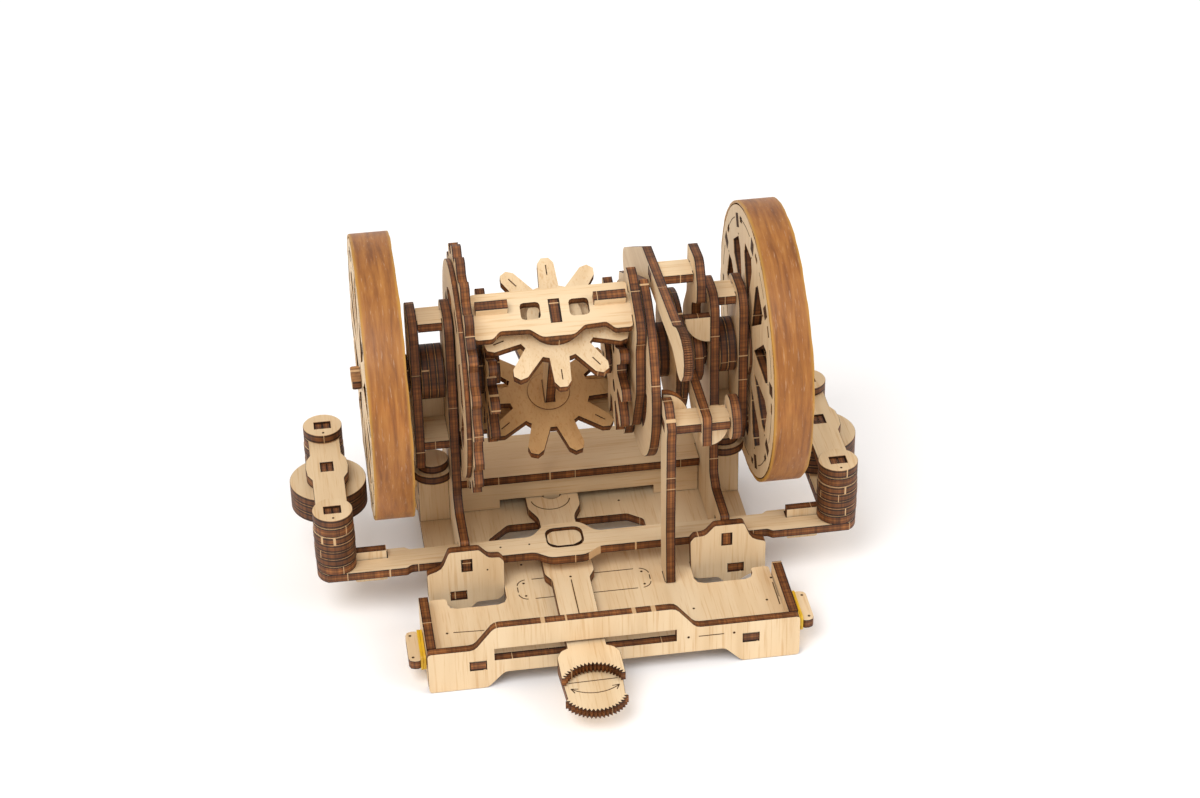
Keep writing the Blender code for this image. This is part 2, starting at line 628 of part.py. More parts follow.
def crossbar():
    end = ARM_X - 2.0
    wide = CROSSBAR_HALF + 1.3
    bulge = 3.6
    front = [(-end + 6, CROSSBAR_Y - wide, 1.5), (-end + 20, CROSSBAR_Y - wide, 1.5),
             (-end + 21.5, CROSSBAR_Y - CROSSBAR_HALF, 1.5),
             (DIFF_X - 10.5, CROSSBAR_Y - CROSSBAR_HALF, 4.0), (DIFF_X - 5.5, CROSSBAR_Y - CROSSBAR_HALF - bulge, 5.0),
             (DIFF_X + 5.5, CROSSBAR_Y - CROSSBAR_HALF - bulge, 5.0), (DIFF_X + 10.5, CROSSBAR_Y - CROSSBAR_HALF, 4.0),
             (end - 21.5, CROSSBAR_Y - CROSSBAR_HALF, 1.5), (end - 20, CROSSBAR_Y - wide, 1.5),
             (end - 6, CROSSBAR_Y - wide, 1.5)]
    right_end = arc(ARM_X, CROSSBAR_Y, STACK_RADIUS - 0.3, -60, 60, 8)
    rear = [(end - 6, CROSSBAR_Y + wide, 1.5), (end - 20, CROSSBAR_Y + wide, 1.5),
            (end - 21.5, CROSSBAR_Y + CROSSBAR_HALF, 1.5),
            (-end + 21.5, CROSSBAR_Y + CROSSBAR_HALF, 1.5), (-end + 20, CROSSBAR_Y + wide, 1.5),
            (-end + 6, CROSSBAR_Y + wide, 1.5)]
    left_end = arc(-ARM_X, CROSSBAR_Y, STACK_RADIUS - 0.3, 120, 240, 8)
    outline = rounded(front + right_end + rear + left_end)
    eye = rounded([(DIFF_X - KEY_HALF - KEY_ROOM, CROSSBAR_Y - 6.0, 3.0), (DIFF_X + KEY_HALF + KEY_ROOM, CROSSBAR_Y - 6.0, 3.0),
                   (DIFF_X + KEY_HALF + KEY_ROOM, CROSSBAR_Y + 3.0, 3.0), (DIFF_X - KEY_HALF - KEY_ROOM, CROSSBAR_Y + 3.0, 3.0)])
    holes = [eye]
    for side in (-1, 1):
        low, high = sorted((side * (ARM_X - 16.0), side * (ARM_X - 5.6)))
        holes.append(box_outline(low - GAP, CROSSBAR_Y + 0.8, high + GAP, CROSSBAR_Y + 0.8 + PLY + 2 * GAP))
        foot = rounded([(low, 11.4, 0.8), (high, 11.4, 0.8), (high, CROSSBAR_Z + PLY + 2.8), (low, CROSSBAR_Z + PLY + 2.8)])
        name = "left_foot_plate" if side < 0 else "right_foot_plate"
        plate(name, "Y", CROSSBAR_Y + 0.8 + GAP, foot)
    plate("crossbar", "Z", CROSSBAR_Z, outline, holes)


def arm_outline(side, with_bulge):
    x = side * ARM_X
    front = arc(x, CROSSBAR_Y, ARM_HALF, 180, 360, 6)
    rear = arc(x, STACK_REAR_Y, ARM_HALF, 0, 180, 6)
    if not with_bulge:
        return front + rear
    right = rounded([(x + ARM_HALF, ROLLER_Y - 6.5, 1.5), (x + 6.3, ROLLER_Y - 4.0, 2.5),
                     (x + 6.3, ROLLER_Y + 4.0, 2.5), (x + ARM_HALF, ROLLER_Y + 6.5, 1.5)])
    left = rounded([(x - ARM_HALF, ROLLER_Y + 6.5, 1.5), (x - 6.3, ROLLER_Y + 4.0, 2.5),
                    (x - 6.3, ROLLER_Y - 4.0, 2.5), (x - ARM_HALF, ROLLER_Y - 6.5, 1.5)])
    return front + right + rear + left


STACK_PLIES = 4


def brake_sides():
    """Lower arm, stacks of round plies, upper arm and roller of each side."""
    lower_z = CROSSBAR_Z + PLY + GAP
    stack_z = lower_z + PLY + GAP
    upper_z = STACK_TOP + GAP
    peg_top = upper_z + PLY - 0.1
    for name, side in (("left", -1), ("right", 1)):
        x = side * ARM_X
        peg_holes = [circle(x, y, PEG_HALF + GAP, 12) for y in (CROSSBAR_Y, STACK_REAR_Y, ROLLER_Y)]
        low_arm = plate_mesh(name, "Z", lower_z, [arm_outline(side, False)])
        pin = plate_mesh(name, "Z", lower_z + 1.0, [circle(x, ROLLER_Y, PEG_HALF, 12)], peg_top - lower_z - 1.0)
        joined(name + "_lower_arm", [low_arm, pin])
        plate(name + "_upper_arm", "Z", upper_z, arm_outline(side, True), peg_holes)
        for place, y in (("front", CROSSBAR_Y), ("rear", STACK_REAR_Y)):
            pile = turned_mesh(name, stack_profile(stack_z, upper_z), 20)
            pile.transform(shift(x, y, 0) @ UPRIGHT)
            add_node(place + "_" + name + "_stack", pile)
        discs = turned_mesh(name, roller_profile(), 30, closed=True)
        discs.transform(shift(x, ROLLER_Y, 0) @ UPRIGHT)
        add_node(name + "_roller", discs, pivot=(x, ROLLER_Y, ROLLER_LOW))


def stack_profile(stack_z, upper_z):
    """Round plies, a thinner peg through the arm and the cap over it, as (z, radius) points."""
    points = [(stack_z, 0.0)]
    step = (STACK_TOP - stack_z) / STACK_PLIES
    for i in range(STACK_PLIES):
        radius = STACK_RADIUS - (0.2 if i % 2 else 0.0)
        points += [(stack_z + i * step, radius), (stack_z + (i + 1) * step, radius)]
    cap_z = upper_z + PLY + GAP
    cap = STACK_RADIUS - 0.3
    points += [(STACK_TOP, PEG_HALF), (cap_z, PEG_HALF), (cap_z, cap), (cap_z + PLY, cap), (cap_z + PLY, 0.0)]
    return points


def roller_profile():
    """Three plies with a washer on top, round the peg's bore."""
    bore = PEG_HALF + RUN
    top = ROLLER_LOW + 3 * PLY
    points = [(ROLLER_LOW, bore)]
    for i in range(3):
        radius = ROLLER_RADIUS - (0.2 if i == 1 else 0.0)
        points += [(ROLLER_LOW + i * PLY, radius), (ROLLER_LOW + (i + 1) * PLY, radius)]
    return points + [(top, 6.8), (STACK_TOP - GAP, 6.8), (STACK_TOP - GAP, bore)]


# Differential carrier: everything here turns about the main axle

SPIDER_SIDE = 90 + SPIDER_TILT


def kidney(radius_in, radius_out, middle, half):
    outer = arc(0, 0, radius_out, middle - half, middle + half, 3)
    inner = arc(0, 0, radius_in, middle + half, middle - half, 3)
    return outer + inner


def cross_tab_holes():
    """Slots for the cross plates' tabs, drawn round the axle with the spider's lean."""
    holes = []
    for side in (1, -1):
        low, high = sorted((side * (CROSS_PLANE - GAP), side * (CROSS_PLANE + PLY + GAP)))
        holes.append(box_outline(-4.0 - GAP, low, 4.0 + GAP, high))
    return holes


def carrier_face(name, x, outline, holes, thickness=PLY):
    """A plate of the carrier, drawn with the spider axis upwards and then leaned with it."""
    mesh = plate_mesh(name, "X", x, [outline, circle(0, 0, AXLE_RADIUS + RUN, 16), *holes], thickness,
                      tilted())
    add_node(name, mesh, pivot=AXLE_POINT)


def carrier():
    ring_slots = [kidney(20.0, 26.0, turn, 18) for turn in (0, 45, 135, 180, 225, 315)]
    ring = toothed(RING_TEETH, RING_ROOT, RING_TIP, 6.4, 9.0, 0.95)
    carrier_face("ring_gear", -RING_X - PLY, ring, [*cross_tab_holes(), *ring_slots])
    carrier_face("backing_plate", -RING_X - PLY - GAP - BACKING_PLY, circle(0, 0, RING_ROOT - 1.5, 36),
                 [*cross_tab_holes(), *ring_slots], BACKING_PLY)
    half = [(13.0, -34.0, 9.0), (13.5, -24.0, 6.0), (21.0, -10.0, 8.0), (21.0, 10.0, 8.0),
            (13.5, 24.0, 6.0), (13.0, 34.0, 9.0)]
    carrier_face("carrier_plate", CARRIER_X, rounded(half + mirrored(half)), cross_tab_holes())
    windows = [kidney(14.0, 24.0, turn, 24) for turn in (0, 180)]
    carrier_face("flange_plate", CARRIER_X + PLY + GAP, circle(0, 0, FLANGE_RADIUS, 44),
                 [*cross_tab_holes(), *windows])
    for name, side in (("upper_cross_plate", 1), ("lower_cross_plate", -1)):
        cross_plate(name, side)
    bar = box_outline(-1.5, -CROSS_PLANE - PLY + 0.1, 1.5, CROSS_PLANE + PLY - 0.1)
    plate("spider_axle", "Y", -4.0, bar, thickness=8.0, frame=tilted(), pivot=AXLE_POINT)


KEY_RISE = 3.3


def cross_plate(name, side):
    """A bridge with two windows, keys standing on it and a lobe over the spider's washer."""
    left, right = -RING_X + GAP, CARRIER_X - GAP
    low = CROSS_PLANE if side > 0 else -CROSS_PLANE - PLY
    end_left, end_right = left - PLY - GAP + 0.1, right + PLY + GAP - 0.1
    half = CROSS_HALF
    outline = [(left, -half, 1.0), (left + 5.5, -half, 1.5), (left + 8.0, -half + 2.6, 1.5),
               (-8.5, -half + 2.3, 2.0), (-5.0, -half - 0.8, 3.0), (5.0, -half - 0.8, 3.0),
               (8.5, -half + 2.2, 2.0), (right - 8.0, -half + 2.6, 1.5), (right - 5.5, -half, 1.5),
               (right, -half, 1.0), (right, -4.0), (end_right, -4.0), (end_right, 4.0), (right, 4.0),
               (right, half, 1.0), (right - 8.0, half, 1.5), (left + 8.0, half, 1.5), (left, half, 1.0),
               (left, 4.0), (end_left, 4.0), (end_left, -4.0), (left, -4.0)]
    axle_room = box_outline(-1.5 - GAP, -4.0 - GAP, 1.5 + GAP, 4.0 + GAP)
    windows = [rounded([(u - 3.1, -2.4, 1.2), (u + 3.1, -2.4, 1.2), (u + 3.1, 3.7, 1.2), (u - 3.1, 3.7, 1.2)])
               for u in (-7.6, 7.6)]
    shapes = [plate_mesh(name, "Z", low, [rounded(outline), axle_room, *windows])]
    for key_left, key_right in ((left + 1.2, left + 11.0), (right - 11.0, right - 1.2)):
        key = box_outline(key_left, low + 0.5 - (0 if side > 0 else KEY_RISE), key_right,
                          low + PLY - 0.5 + (KEY_RISE if side > 0 else 0))
        shapes.append(plate_mesh(name, "Y", 0.7, [key]))
    joined(name, shapes, tilted(), pivot=AXLE_POINT)


def spiders():
    """Two bevel-like gears cut flat, each with the round washer that holds it off the cross plate."""
    hole = circle(0, 0, math.hypot(1.5, 4.0) + RUN, 20)
    for name, side in (("upper_spider_gear", 1), ("lower_spider_gear", -1)):
        turn = 180 / SPIDER_TEETH if side > 0 else 0.0
        gear = toothed(SPIDER_TEETH, SPIDER_ROOT, SPIDER_TIP, SPIDER_TOOTH, turn)
        low = SPIDER_PLANE if side > 0 else -SPIDER_PLANE - PLY
        washer_low = SPIDER_PLANE + PLY - 0.1 if side > 0 else -CROSS_PLANE + GAP
        washer_depth = CROSS_PLANE - GAP - SPIDER_PLANE - PLY + 0.1
        washer_hole = circle(0, 0, math.hypot(1.5, 4.0) + RUN + 0.2, 20)
        pieces = [plate_mesh(name, "Z", low, [gear, hole]),
                  plate_mesh(name, "Z", washer_low, [circle(0, 0, 8.6, 28), washer_hole], washer_depth)]
        joined(name, pieces, tilted(), pivot=AXLE_POINT)


# Output shafts

CAP_RADIUS = 6.0
SHOULDER = 0.4


def drive(side):
    """One wheel with its tyre, its axle with spacers, and its side gear."""
    name = "left" if side < 0 else "right"
    gear = toothed(SIDE_TEETH, SIDE_ROOT, SIDE_TIP, SIDE_TOOTH, SPIDER_SIDE)
    gear_low = DIFF_X + (SIDE_PLANE if side > 0 else -SIDE_PLANE - PLY)
    hole = circle(AXLE_Y, AXLE_Z, AXLE_RADIUS + GAP, 16)
    eyes = [circle(AXLE_Y + 10.2 * math.cos(math.radians(t)), AXLE_Z + 10.2 * math.sin(math.radians(t)), 2.2, 8)
            for t in range(45, 360, 90)]
    plate(name + "_side_gear", "X", gear_low, shifted(gear, AXLE_Y, AXLE_Z), [hole, *eyes], pivot=AXLE_POINT)
    wheel(name, side)
    profile = left_axle_profile() if side < 0 else right_axle_profile()
    axle = turned_mesh(name + "_axle", profile, 20)
    axle.transform(shift(0, AXLE_Y, AXLE_Z))
    add_node(name + "_axle", axle, colour=(0.35, 0.2, 0.1), pivot=AXLE_POINT)


def stepped(runs):
    """Profile points from (x start, x end, radius) runs; the shaft's own radius lies between them."""
    points = [(runs[0][0], 0.0)]
    for i, (start, end, radius) in enumerate(runs):
        points += [(start, radius), (end, radius)]
        if i + 1 < len(runs):
            points += [(end, AXLE_RADIUS), (runs[i + 1][0], AXLE_RADIUS)]
    points.append((runs[-1][1], 0.0))
    return points


def left_axle_profile():
    post_out = BASE_X - LEFT_POST_X - PLY
    side_out = BASE_X - SIDE_PLATE_X - PLY / 2
    return stepped([
        (-WHEEL_OUTER - GAP - 2.7, -WHEEL_OUTER - GAP, CAP_RADIUS),
        (-WHEEL_OUTER + WHEEL_WIDTH + GAP, post_out - SHOULDER, CAP_RADIUS),
        (post_out + PLY + SHOULDER, side_out - SHOULDER, SPACER_RADIUS),
        (DIFF_X - RING_X + SHOULDER, DIFF_X - SIDE_PLANE - PLY - GAP, SPACER_RADIUS),
        (DIFF_X - SIDE_PLANE + GAP, DIFF_X - SIDE_PLANE + 2.2, CAP_RADIUS)])


def right_axle_profile():
    post_in = BASE_X + RIGHT_POST_X
    side_in = BASE_X + SIDE_PLATE_X - PLY / 2
    flange_out = DIFF_X + CARRIER_X + 2 * PLY + GAP
    drum = [(DRUM_X + i * 2.2, DRUM_X + i * 2.2 + 1.9, DRUM_RADIUS) for i in range(3)]
    runs = [(DIFF_X + SIDE_PLANE - 2.2, DIFF_X + SIDE_PLANE - GAP, CAP_RADIUS),
            (DIFF_X + SIDE_PLANE + PLY + GAP, DIFF_X + CARRIER_X - SHOULDER, SPACER_RADIUS),
            (flange_out + SHOULDER, DRUM_X - 0.1, SPACER_RADIUS)]
    tail = [(FORK_X + PLY + SHOULDER, side_in - SHOULDER, CAP_RADIUS),
            (side_in + PLY + SHOULDER, post_in - SHOULDER, SPACER_RADIUS),
            (post_in + PLY + SHOULDER, WHEEL_OUTER - WHEEL_WIDTH - GAP, CAP_RADIUS),
            (WHEEL_OUTER + GAP, WHEEL_OUTER + GAP + 2.7, CAP_RADIUS)]
    points = stepped(runs)[:-1]
    for i, (start, end, radius) in enumerate(drum):
        points += [(start, radius - 1.2), (start, radius), (end, radius), (end, radius - 1.2)]
    rest = stepped(tail)
    return points + [(drum[-1][1], AXLE_RADIUS), (tail[0][0], AXLE_RADIUS)] + rest[1:]


def polar(radius, angle):
    turn = math.radians(angle)
    return (AXLE_Y + radius * math.cos(turn), AXLE_Z + radius * math.sin(turn))


def wheel_openings():
    """Pointed openings between the spokes, and a peg slot in the rim over each spoke."""
    openings = []
    reach = WHEEL_RADIUS - WHEEL_RIM - 2.5
    for i in range(SPOKES):
        turn = 360 * (i + 0.5) / SPOKES
        openings.append([polar(12.5, turn), polar(30.0, turn - 12.0), polar(reach, turn - 8.5),
                         polar(reach, turn + 8.5), polar(30.0, turn + 12.0)])
        spoke = turn + 180 / SPOKES
        slot_in, slot_out = WHEEL_RADIUS - 5.2, WHEEL_RADIUS - 3.2
        openings.append([polar(slot_in, spoke - 2.6), polar(slot_out, spoke - 2.5),
                         polar(slot_out, spoke + 2.5), polar(slot_in, spoke + 2.6)])
    return openings


def wheel(name, side):
    """Four plies glued face to face, cut right through between the spokes, and the tyre round them."""
    low = -WHEEL_OUTER if side < 0 else WHEEL_OUTER - WHEEL_WIDTH
    holes = [circle(AXLE_Y, AXLE_Z, AXLE_RADIUS + GAP, 16), *wheel_openings()]
    plate(name + "_wheel", "X", low, circle(AXLE_Y, AXLE_Z, WHEEL_RADIUS, WHEEL_STEPS), holes, WHEEL_WIDTH,
          pivot=AXLE_POINT)
    inner = WHEEL_RADIUS + GAP
    plate(name + "_tyre", "X", low, circle(AXLE_Y, AXLE_Z, inner + TYRE, WHEEL_STEPS),
          [circle(AXLE_Y, AXLE_Z, inner, WHEEL_STEPS)], WHEEL_WIDTH, colour=(0.5, 0.25, 0.06), roughness=0.45,
          pivot=AXLE_POINT)


# Differential lock

def lock_lever():
    """A long hand lever over the carrier, tied to the fork plate that rides on the right hub."""
    tab = 2.6
    tie_middle = AXLE_Y - 3.0
    grip = [(24.6, 110.2, 2.0), (18.7, 113.2), (14.5, 114.0), (10.2, 113.9), (6.6, 112.4), (5.2, 108.6),
            (6.2, 104.0), (9.6, 100.0), (12.5, 98.8), (16.5, 98.9), (20.0, 100.6), (25.5, 102.0, 2.0)]
    nose = arc(LOCK_REAR_Y - 6.5, 77.5, 6.5, -70, 60, 8)
    outline = rounded(grip[::-1] + [(81.5, 104.8, 3.0)] + nose[::-1] + [(100.0, 83.0, 10.0), (76.0, 96.5, 5.0),
                                                                      (66.0, 99.0, 3.0)])
    hole = box_outline(tie_middle - tab - GAP, LOCK_TIE_Z - GAP, tie_middle + tab + GAP, LOCK_TIE_Z + PLY + GAP)
    plate("lock_lever", "X", LOCK_X, outline, [hole], pivot=AXLE_POINT)
    left, right = LOCK_X + PLY + GAP, FORK_X - GAP
    tie = [(left, tie_middle - 4.6), (right, tie_middle - 4.6), (right, tie_middle - tab),
           (right + PLY + 0.2, tie_middle - tab), (right + PLY + 0.2, tie_middle + tab), (right, tie_middle + tab),
           (right, tie_middle + 4.6), (left, tie_middle + 4.6), (left, tie_middle + tab),
           (left - PLY - 0.2, tie_middle + tab), (left - PLY - 0.2, tie_middle - tab), (left, tie_middle - tab)]
    plate("lock_tie", "Z", LOCK_TIE_Z, tie, pivot=AXLE_POINT)
    fork = [(AXLE_Y - 12.5, AXLE_Z - 4.0, 4.0), (AXLE_Y - 6.0, AXLE_Z - 12.5, 6.0),
            (AXLE_Y + 6.0, AXLE_Z - 12.5, 6.0), (AXLE_Y + 12.5, AXLE_Z - 4.0, 6.0), (AXLE_Y + 12.5, AXLE_Z + 8.0, 6.0),
            (AXLE_Y + 5.5, AXLE_Z + 18.0, 4.0), (AXLE_Y + 4.0, 109.6, 1.5), (AXLE_Y - 8.5, 110.8, 4.0),
            (AXLE_Y - 13.0, 104.0, 3.0), (AXLE_Y - 13.0, AXLE_Z + 20.0, 3.0)]
    plate("lock_fork", "X", FORK_X, rounded(fork), [circle(AXLE_Y, AXLE_Z, AXLE_RADIUS + RUN, 20), hole],
          pivot=AXLE_POINT)


TALL_FRONT = 27.0
TALL_REAR = 39.4
STOP_TAB = 2.6
STOP_MIDDLE = 35.0


def lock_stop():
    """The tall plate, and the bar and round cap that its tie carries."""
    foot = BASE_TOP + GAP
    outline = rounded([(TALL_FRONT + 2.4, foot), (TALL_TAB_LOW, foot), (TALL_TAB_LOW, BASE_TOP - PLY + 0.1),
                       (TALL_TAB_HIGH, BASE_TOP - PLY + 0.1), (TALL_TAB_HIGH, foot), (TALL_REAR, foot), (TALL_REAR, 40.0, 20.0),
                       (TALL_REAR - 0.5, 66.0, 3.0), (TALL_REAR, 76.0, 2.0), (33.5, 76.5, 1.5),
                       (TALL_FRONT, 70.8, 1.0), (TALL_FRONT + 1.2, 66.0, 2.0), (TALL_FRONT + 3.0, 30.0, 20.0)])
    tie_hole_here = box_outline(STOP_MIDDLE - STOP_TAB - GAP, STOP_TIE_Z - GAP,
                                STOP_MIDDLE + STOP_TAB + GAP, STOP_TIE_Z + PLY + GAP)
    plate("tall_plate", "X", TALL_X, outline, [tie_hole_here])
    left = TALL_X + PLY + GAP
    cap_x = CAP_X
    half = 4.6
    tie = [(left, STOP_MIDDLE - half), (cap_x - GAP, STOP_MIDDLE - half), (cap_x - GAP, STOP_MIDDLE - STOP_TAB),
           (cap_x + PLY - 0.1, STOP_MIDDLE - STOP_TAB), (cap_x + PLY - 0.1, STOP_MIDDLE + STOP_TAB),
           (cap_x - GAP, STOP_MIDDLE + STOP_TAB), (cap_x - GAP, STOP_MIDDLE + half), (left, STOP_MIDDLE + half),
           (left, STOP_MIDDLE + STOP_TAB), (left - PLY - 0.2, STOP_MIDDLE + STOP_TAB),
           (left - PLY - 0.2, STOP_MIDDLE - STOP_TAB), (left, STOP_MIDDLE - STOP_TAB)]
    plate("stop_tie", "Z", STOP_TIE_Z, tie)
    bar_room = box_outline(STOP_MIDDLE - half - GAP, STOP_TIE_Z - GAP, STOP_MIDDLE + half + GAP,
                           STOP_TIE_Z + PLY + GAP)
    bar = rounded([(28.0, 62.6, 1.0), (46.5, 62.6, 3.0), (46.5, 73.5, 3.0), (28.0, 73.5, 1.0)])
    plate("stop_bar", "X", STOP_BAR_X, bar, [bar_room])
    cap_hole = box_outline(STOP_MIDDLE - STOP_TAB - GAP, STOP_TIE_Z - GAP, STOP_MIDDLE + STOP_TAB + GAP,
                           STOP_TIE_Z + PLY + GAP)
    plate("stop_cap", "X", cap_x, circle(STOP_MIDDLE, STOP_TIE_Z + PLY / 2, 7.0, 28), [cap_hole])


front_panel()
base_plate()
end_panels()
rubber_bands()
brackets()
side_plates()
outer_posts()
post_ties()
foot_discs()
rear_plates()
selector()
crossbar()
brake_sides()
carrier()
spiders()
drive(-1)
drive(1)
lock_lever()
lock_stop()
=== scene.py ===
# %% [markdown]
# # A wooden model of a car's differential
# This lesson dresses a model that was drawn first as flat plates. The real one is a desk toy, cut by a
# laser from 3 mm birch plywood and put together without glue. The plates already have the right
# outlines, so the work here is the wood itself, the rubber, and the small round and burnt details.

# %% Load the drawn model
import math
import bpy
from mathutils import Matrix, Vector


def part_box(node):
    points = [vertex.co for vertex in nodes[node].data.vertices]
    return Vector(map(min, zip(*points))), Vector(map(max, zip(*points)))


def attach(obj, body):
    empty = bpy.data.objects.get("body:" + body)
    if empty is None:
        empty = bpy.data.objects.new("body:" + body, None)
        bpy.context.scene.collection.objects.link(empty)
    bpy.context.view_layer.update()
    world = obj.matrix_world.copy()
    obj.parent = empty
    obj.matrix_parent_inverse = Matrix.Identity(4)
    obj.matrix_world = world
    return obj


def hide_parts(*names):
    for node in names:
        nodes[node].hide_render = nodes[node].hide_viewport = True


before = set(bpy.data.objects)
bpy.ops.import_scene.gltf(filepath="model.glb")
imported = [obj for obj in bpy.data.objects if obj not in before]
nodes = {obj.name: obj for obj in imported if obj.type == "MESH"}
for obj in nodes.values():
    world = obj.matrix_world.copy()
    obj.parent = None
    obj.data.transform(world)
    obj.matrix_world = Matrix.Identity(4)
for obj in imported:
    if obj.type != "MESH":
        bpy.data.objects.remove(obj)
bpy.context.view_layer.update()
MM = 0.001
FRONT = -46.2
print("plates and turned parts:", len(nodes))

# %% [markdown]
# The axle is the line that most pieces turn about, so its place is read from the drawn model once.
# FRONT is where the tray's front face stands, and depths in this lesson are counted from it. The gear
# cage leans back by CAGE_LEAN. SPIDER is its own upward direction, and ACROSS its own rearward one.

# %% Places that many pieces share
X, Y, Z = (1, 0, 0), (0, 1, 0), (0, 0, 1)
PLY = 3.0
DIFF_X = -7.6
CAGE_LEAN = math.radians(27.4)
SPIDER = Vector((0.0, -math.sin(CAGE_LEAN), math.cos(CAGE_LEAN)))
ACROSS = Vector((0.0, math.cos(CAGE_LEAN), math.sin(CAGE_LEAN)))
axle_low, axle_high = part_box("left_wheel")
AXLE_Y = (axle_low[1] + axle_high[1]) / 2
AXLE_Z = (axle_low[2] + axle_high[2]) / 2
print("axle at", round(AXLE_Y * 1000, 1), round(AXLE_Z * 1000, 1), "mm")

# %% [markdown]
# ## Camera
# A product photographer stood well back with a long lens, a little to the left, and looked down on the
# model. The long lens keeps the two wheels nearly the same size. The camera is turned by its own three
# directions, because a slight roll is hard to give with a target alone.

# %% Place the camera
def place_camera(position, azimuth, down, roll, lens):
    a, e, r = (math.radians(v) for v in (azimuth, down, roll))
    ahead = Vector((math.sin(a) * math.cos(e), math.cos(a) * math.cos(e), -math.sin(e)))
    right = Vector((math.cos(a), -math.sin(a), 0.0))
    up = right.cross(ahead)
    tilted_right = right * math.cos(r) + up * math.sin(r)
    tilted_up = up * math.cos(r) - right * math.sin(r)
    data = bpy.data.cameras.new("photo_camera")
    data.lens = lens
    data.sensor_width = 36.0
    data.sensor_fit = "HORIZONTAL"
    data.clip_start = 0.01
    data.clip_end = 20.0
    camera = bpy.data.objects.new("photo_camera", data)
    bpy.context.scene.collection.objects.link(camera)
    turn = Matrix((tilted_right, tilted_up, -ahead)).transposed().to_4x4()
    camera.matrix_world = Matrix.Translation(position) @ turn
    bpy.context.scene.camera = camera
    return camera


camera = place_camera(Vector((-0.0950, -0.7061, 0.5440)), 8.03, 33.49, -0.99, 82.37)
print("lens", camera.data.lens)

# %% [markdown]
# ## Birch plywood
# Laser-cut plywood has two looks. Its faces are pale birch with fine straight fibres. Its edges are
# scorched: dark outer veneers with an amber brown middle one, fine upright scorch lines, and now and
# then a pale nick where a bridge held the piece in its sheet. One material can carry both looks. It
# compares the surface's direction with the sheet's own direction, and measures how deep a point lies
# in the sheet to colour the veneers.

# %% Small helpers for wiring a material
def node(tree, kind, **settings):
    made = tree.nodes.new(kind)
    for key, value in settings.items():
        setattr(made, key, value)
    return made


def feed(tree, socket, value):
    if isinstance(value, bpy.types.NodeSocket):
        tree.links.new(value, socket)
    else:
        socket.default_value = value


def maths(tree, operation, *values):
    made = node(tree, "ShaderNodeMath", operation=operation)
    for socket, value in zip(made.inputs, values):
        feed(tree, socket, value)
    return made.outputs[0]


def vector_maths(tree, operation, *values):
    made = node(tree, "ShaderNodeVectorMath", operation=operation)
    for socket, value in zip(made.inputs, values):
        feed(tree, socket, value)
    return made.outputs["Value"] if operation == "DOT_PRODUCT" else made.outputs["Vector"]


def noise(tree, vector, scale, detail, rough, distortion=0.0):
    made = node(tree, "ShaderNodeTexNoise")
    feed(tree, made.inputs["Vector"], vector)
    made.inputs["Scale"].default_value = scale
    made.inputs["Detail"].default_value = detail
    made.inputs["Roughness"].default_value = rough
    made.inputs["Distortion"].default_value = distortion
    return made.outputs["Fac"]


def ramp(tree, value, stops, smooth=False):
    made = node(tree, "ShaderNodeValToRGB")
    band = made.color_ramp
    band.interpolation = "EASE" if smooth else "LINEAR"
    while len(band.elements) < len(stops):
        band.elements.new(0.5)
    for element, (place, colour) in zip(band.elements, stops):
        element.position = place
        element.color = (*colour, 1.0)
    feed(tree, made.inputs["Fac"], value)
    return made.outputs["Color"]


def blend_colours(tree, kind, amount, first, second):
    made = node(tree, "ShaderNodeMix", data_type="RGBA", blend_type=kind)
    feed(tree, made.inputs[0], amount)
    for socket, value in ((made.inputs[6], first), (made.inputs[7], second)):
        feed(tree, socket, (*value, 1.0) if isinstance(value, tuple) else value)
    return made.outputs[2]


def roughen(tree, shader, height, strength, distance):
    bump = node(tree, "ShaderNodeBump")
    bump.inputs["Strength"].default_value = strength
    bump.inputs["Distance"].default_value = distance
    tree.links.new(height, bump.inputs["Height"])
    tree.links.new(bump.outputs["Normal"], shader.inputs["Normal"])


def new_finish(title):
    made = bpy.data.materials.new(title)
    made.use_nodes = True
    tree = made.node_tree
    place = node(tree, "ShaderNodeTexCoord")
    return made, tree, tree.nodes["Principled BSDF"], place


# %% [markdown]
# The veneer colours run through the sheet's 3 mm: nearly black glue lines, brown outer veneers, and a
# warmer middle. A pile of plies repeats them, with a thin pale line at each joint where a little of a
# face shows.

# %% Colours of the wood
VENEERS = [(0.0, (0.022, 0.008, 0.004)), (0.09, (0.034, 0.012, 0.005)), (0.15, (0.140, 0.046, 0.012)),
           (0.29, (0.165, 0.056, 0.014)), (0.335, (0.045, 0.015, 0.006)), (0.39, (0.205, 0.076, 0.020)),
           (0.61, (0.222, 0.084, 0.022)), (0.665, (0.045, 0.015, 0.006)), (0.71, (0.165, 0.056, 0.014)),
           (0.85, (0.140, 0.046, 0.012)), (0.91, (0.034, 0.012, 0.005)), (1.0, (0.022, 0.008, 0.004))]
PILED = [(0.0, (0.55, 0.33, 0.15)), (0.045, (0.42, 0.23, 0.09)), (0.075, (0.030, 0.011, 0.005)),
         (0.24, (0.038, 0.014, 0.006)), (0.34, (0.150, 0.054, 0.015)), (0.52, (0.118, 0.041, 0.012)),
         (0.66, (0.162, 0.060, 0.017)), (0.80, (0.038, 0.014, 0.006)), (0.94, (0.030, 0.011, 0.005)),
         (1.0, (0.36, 0.18, 0.07))]
FACE_TONES = [(0.22, (0.640, 0.445, 0.245)), (0.50, (0.730, 0.540, 0.325)), (0.78, (0.775, 0.600, 0.385))]
WHITE = (1.0, 1.0, 1.0)
BLACK = (0.0, 0.0, 0.0)
print("one sheet's edge has", len(VENEERS), "colour stops, a pile's has", len(PILED))

# %% [markdown]
# A drawn plate is measured from its own lowest point, along its own direction. A piece made later is
# given two numbers on every vertex instead, because it may hold plies that lie in several places.

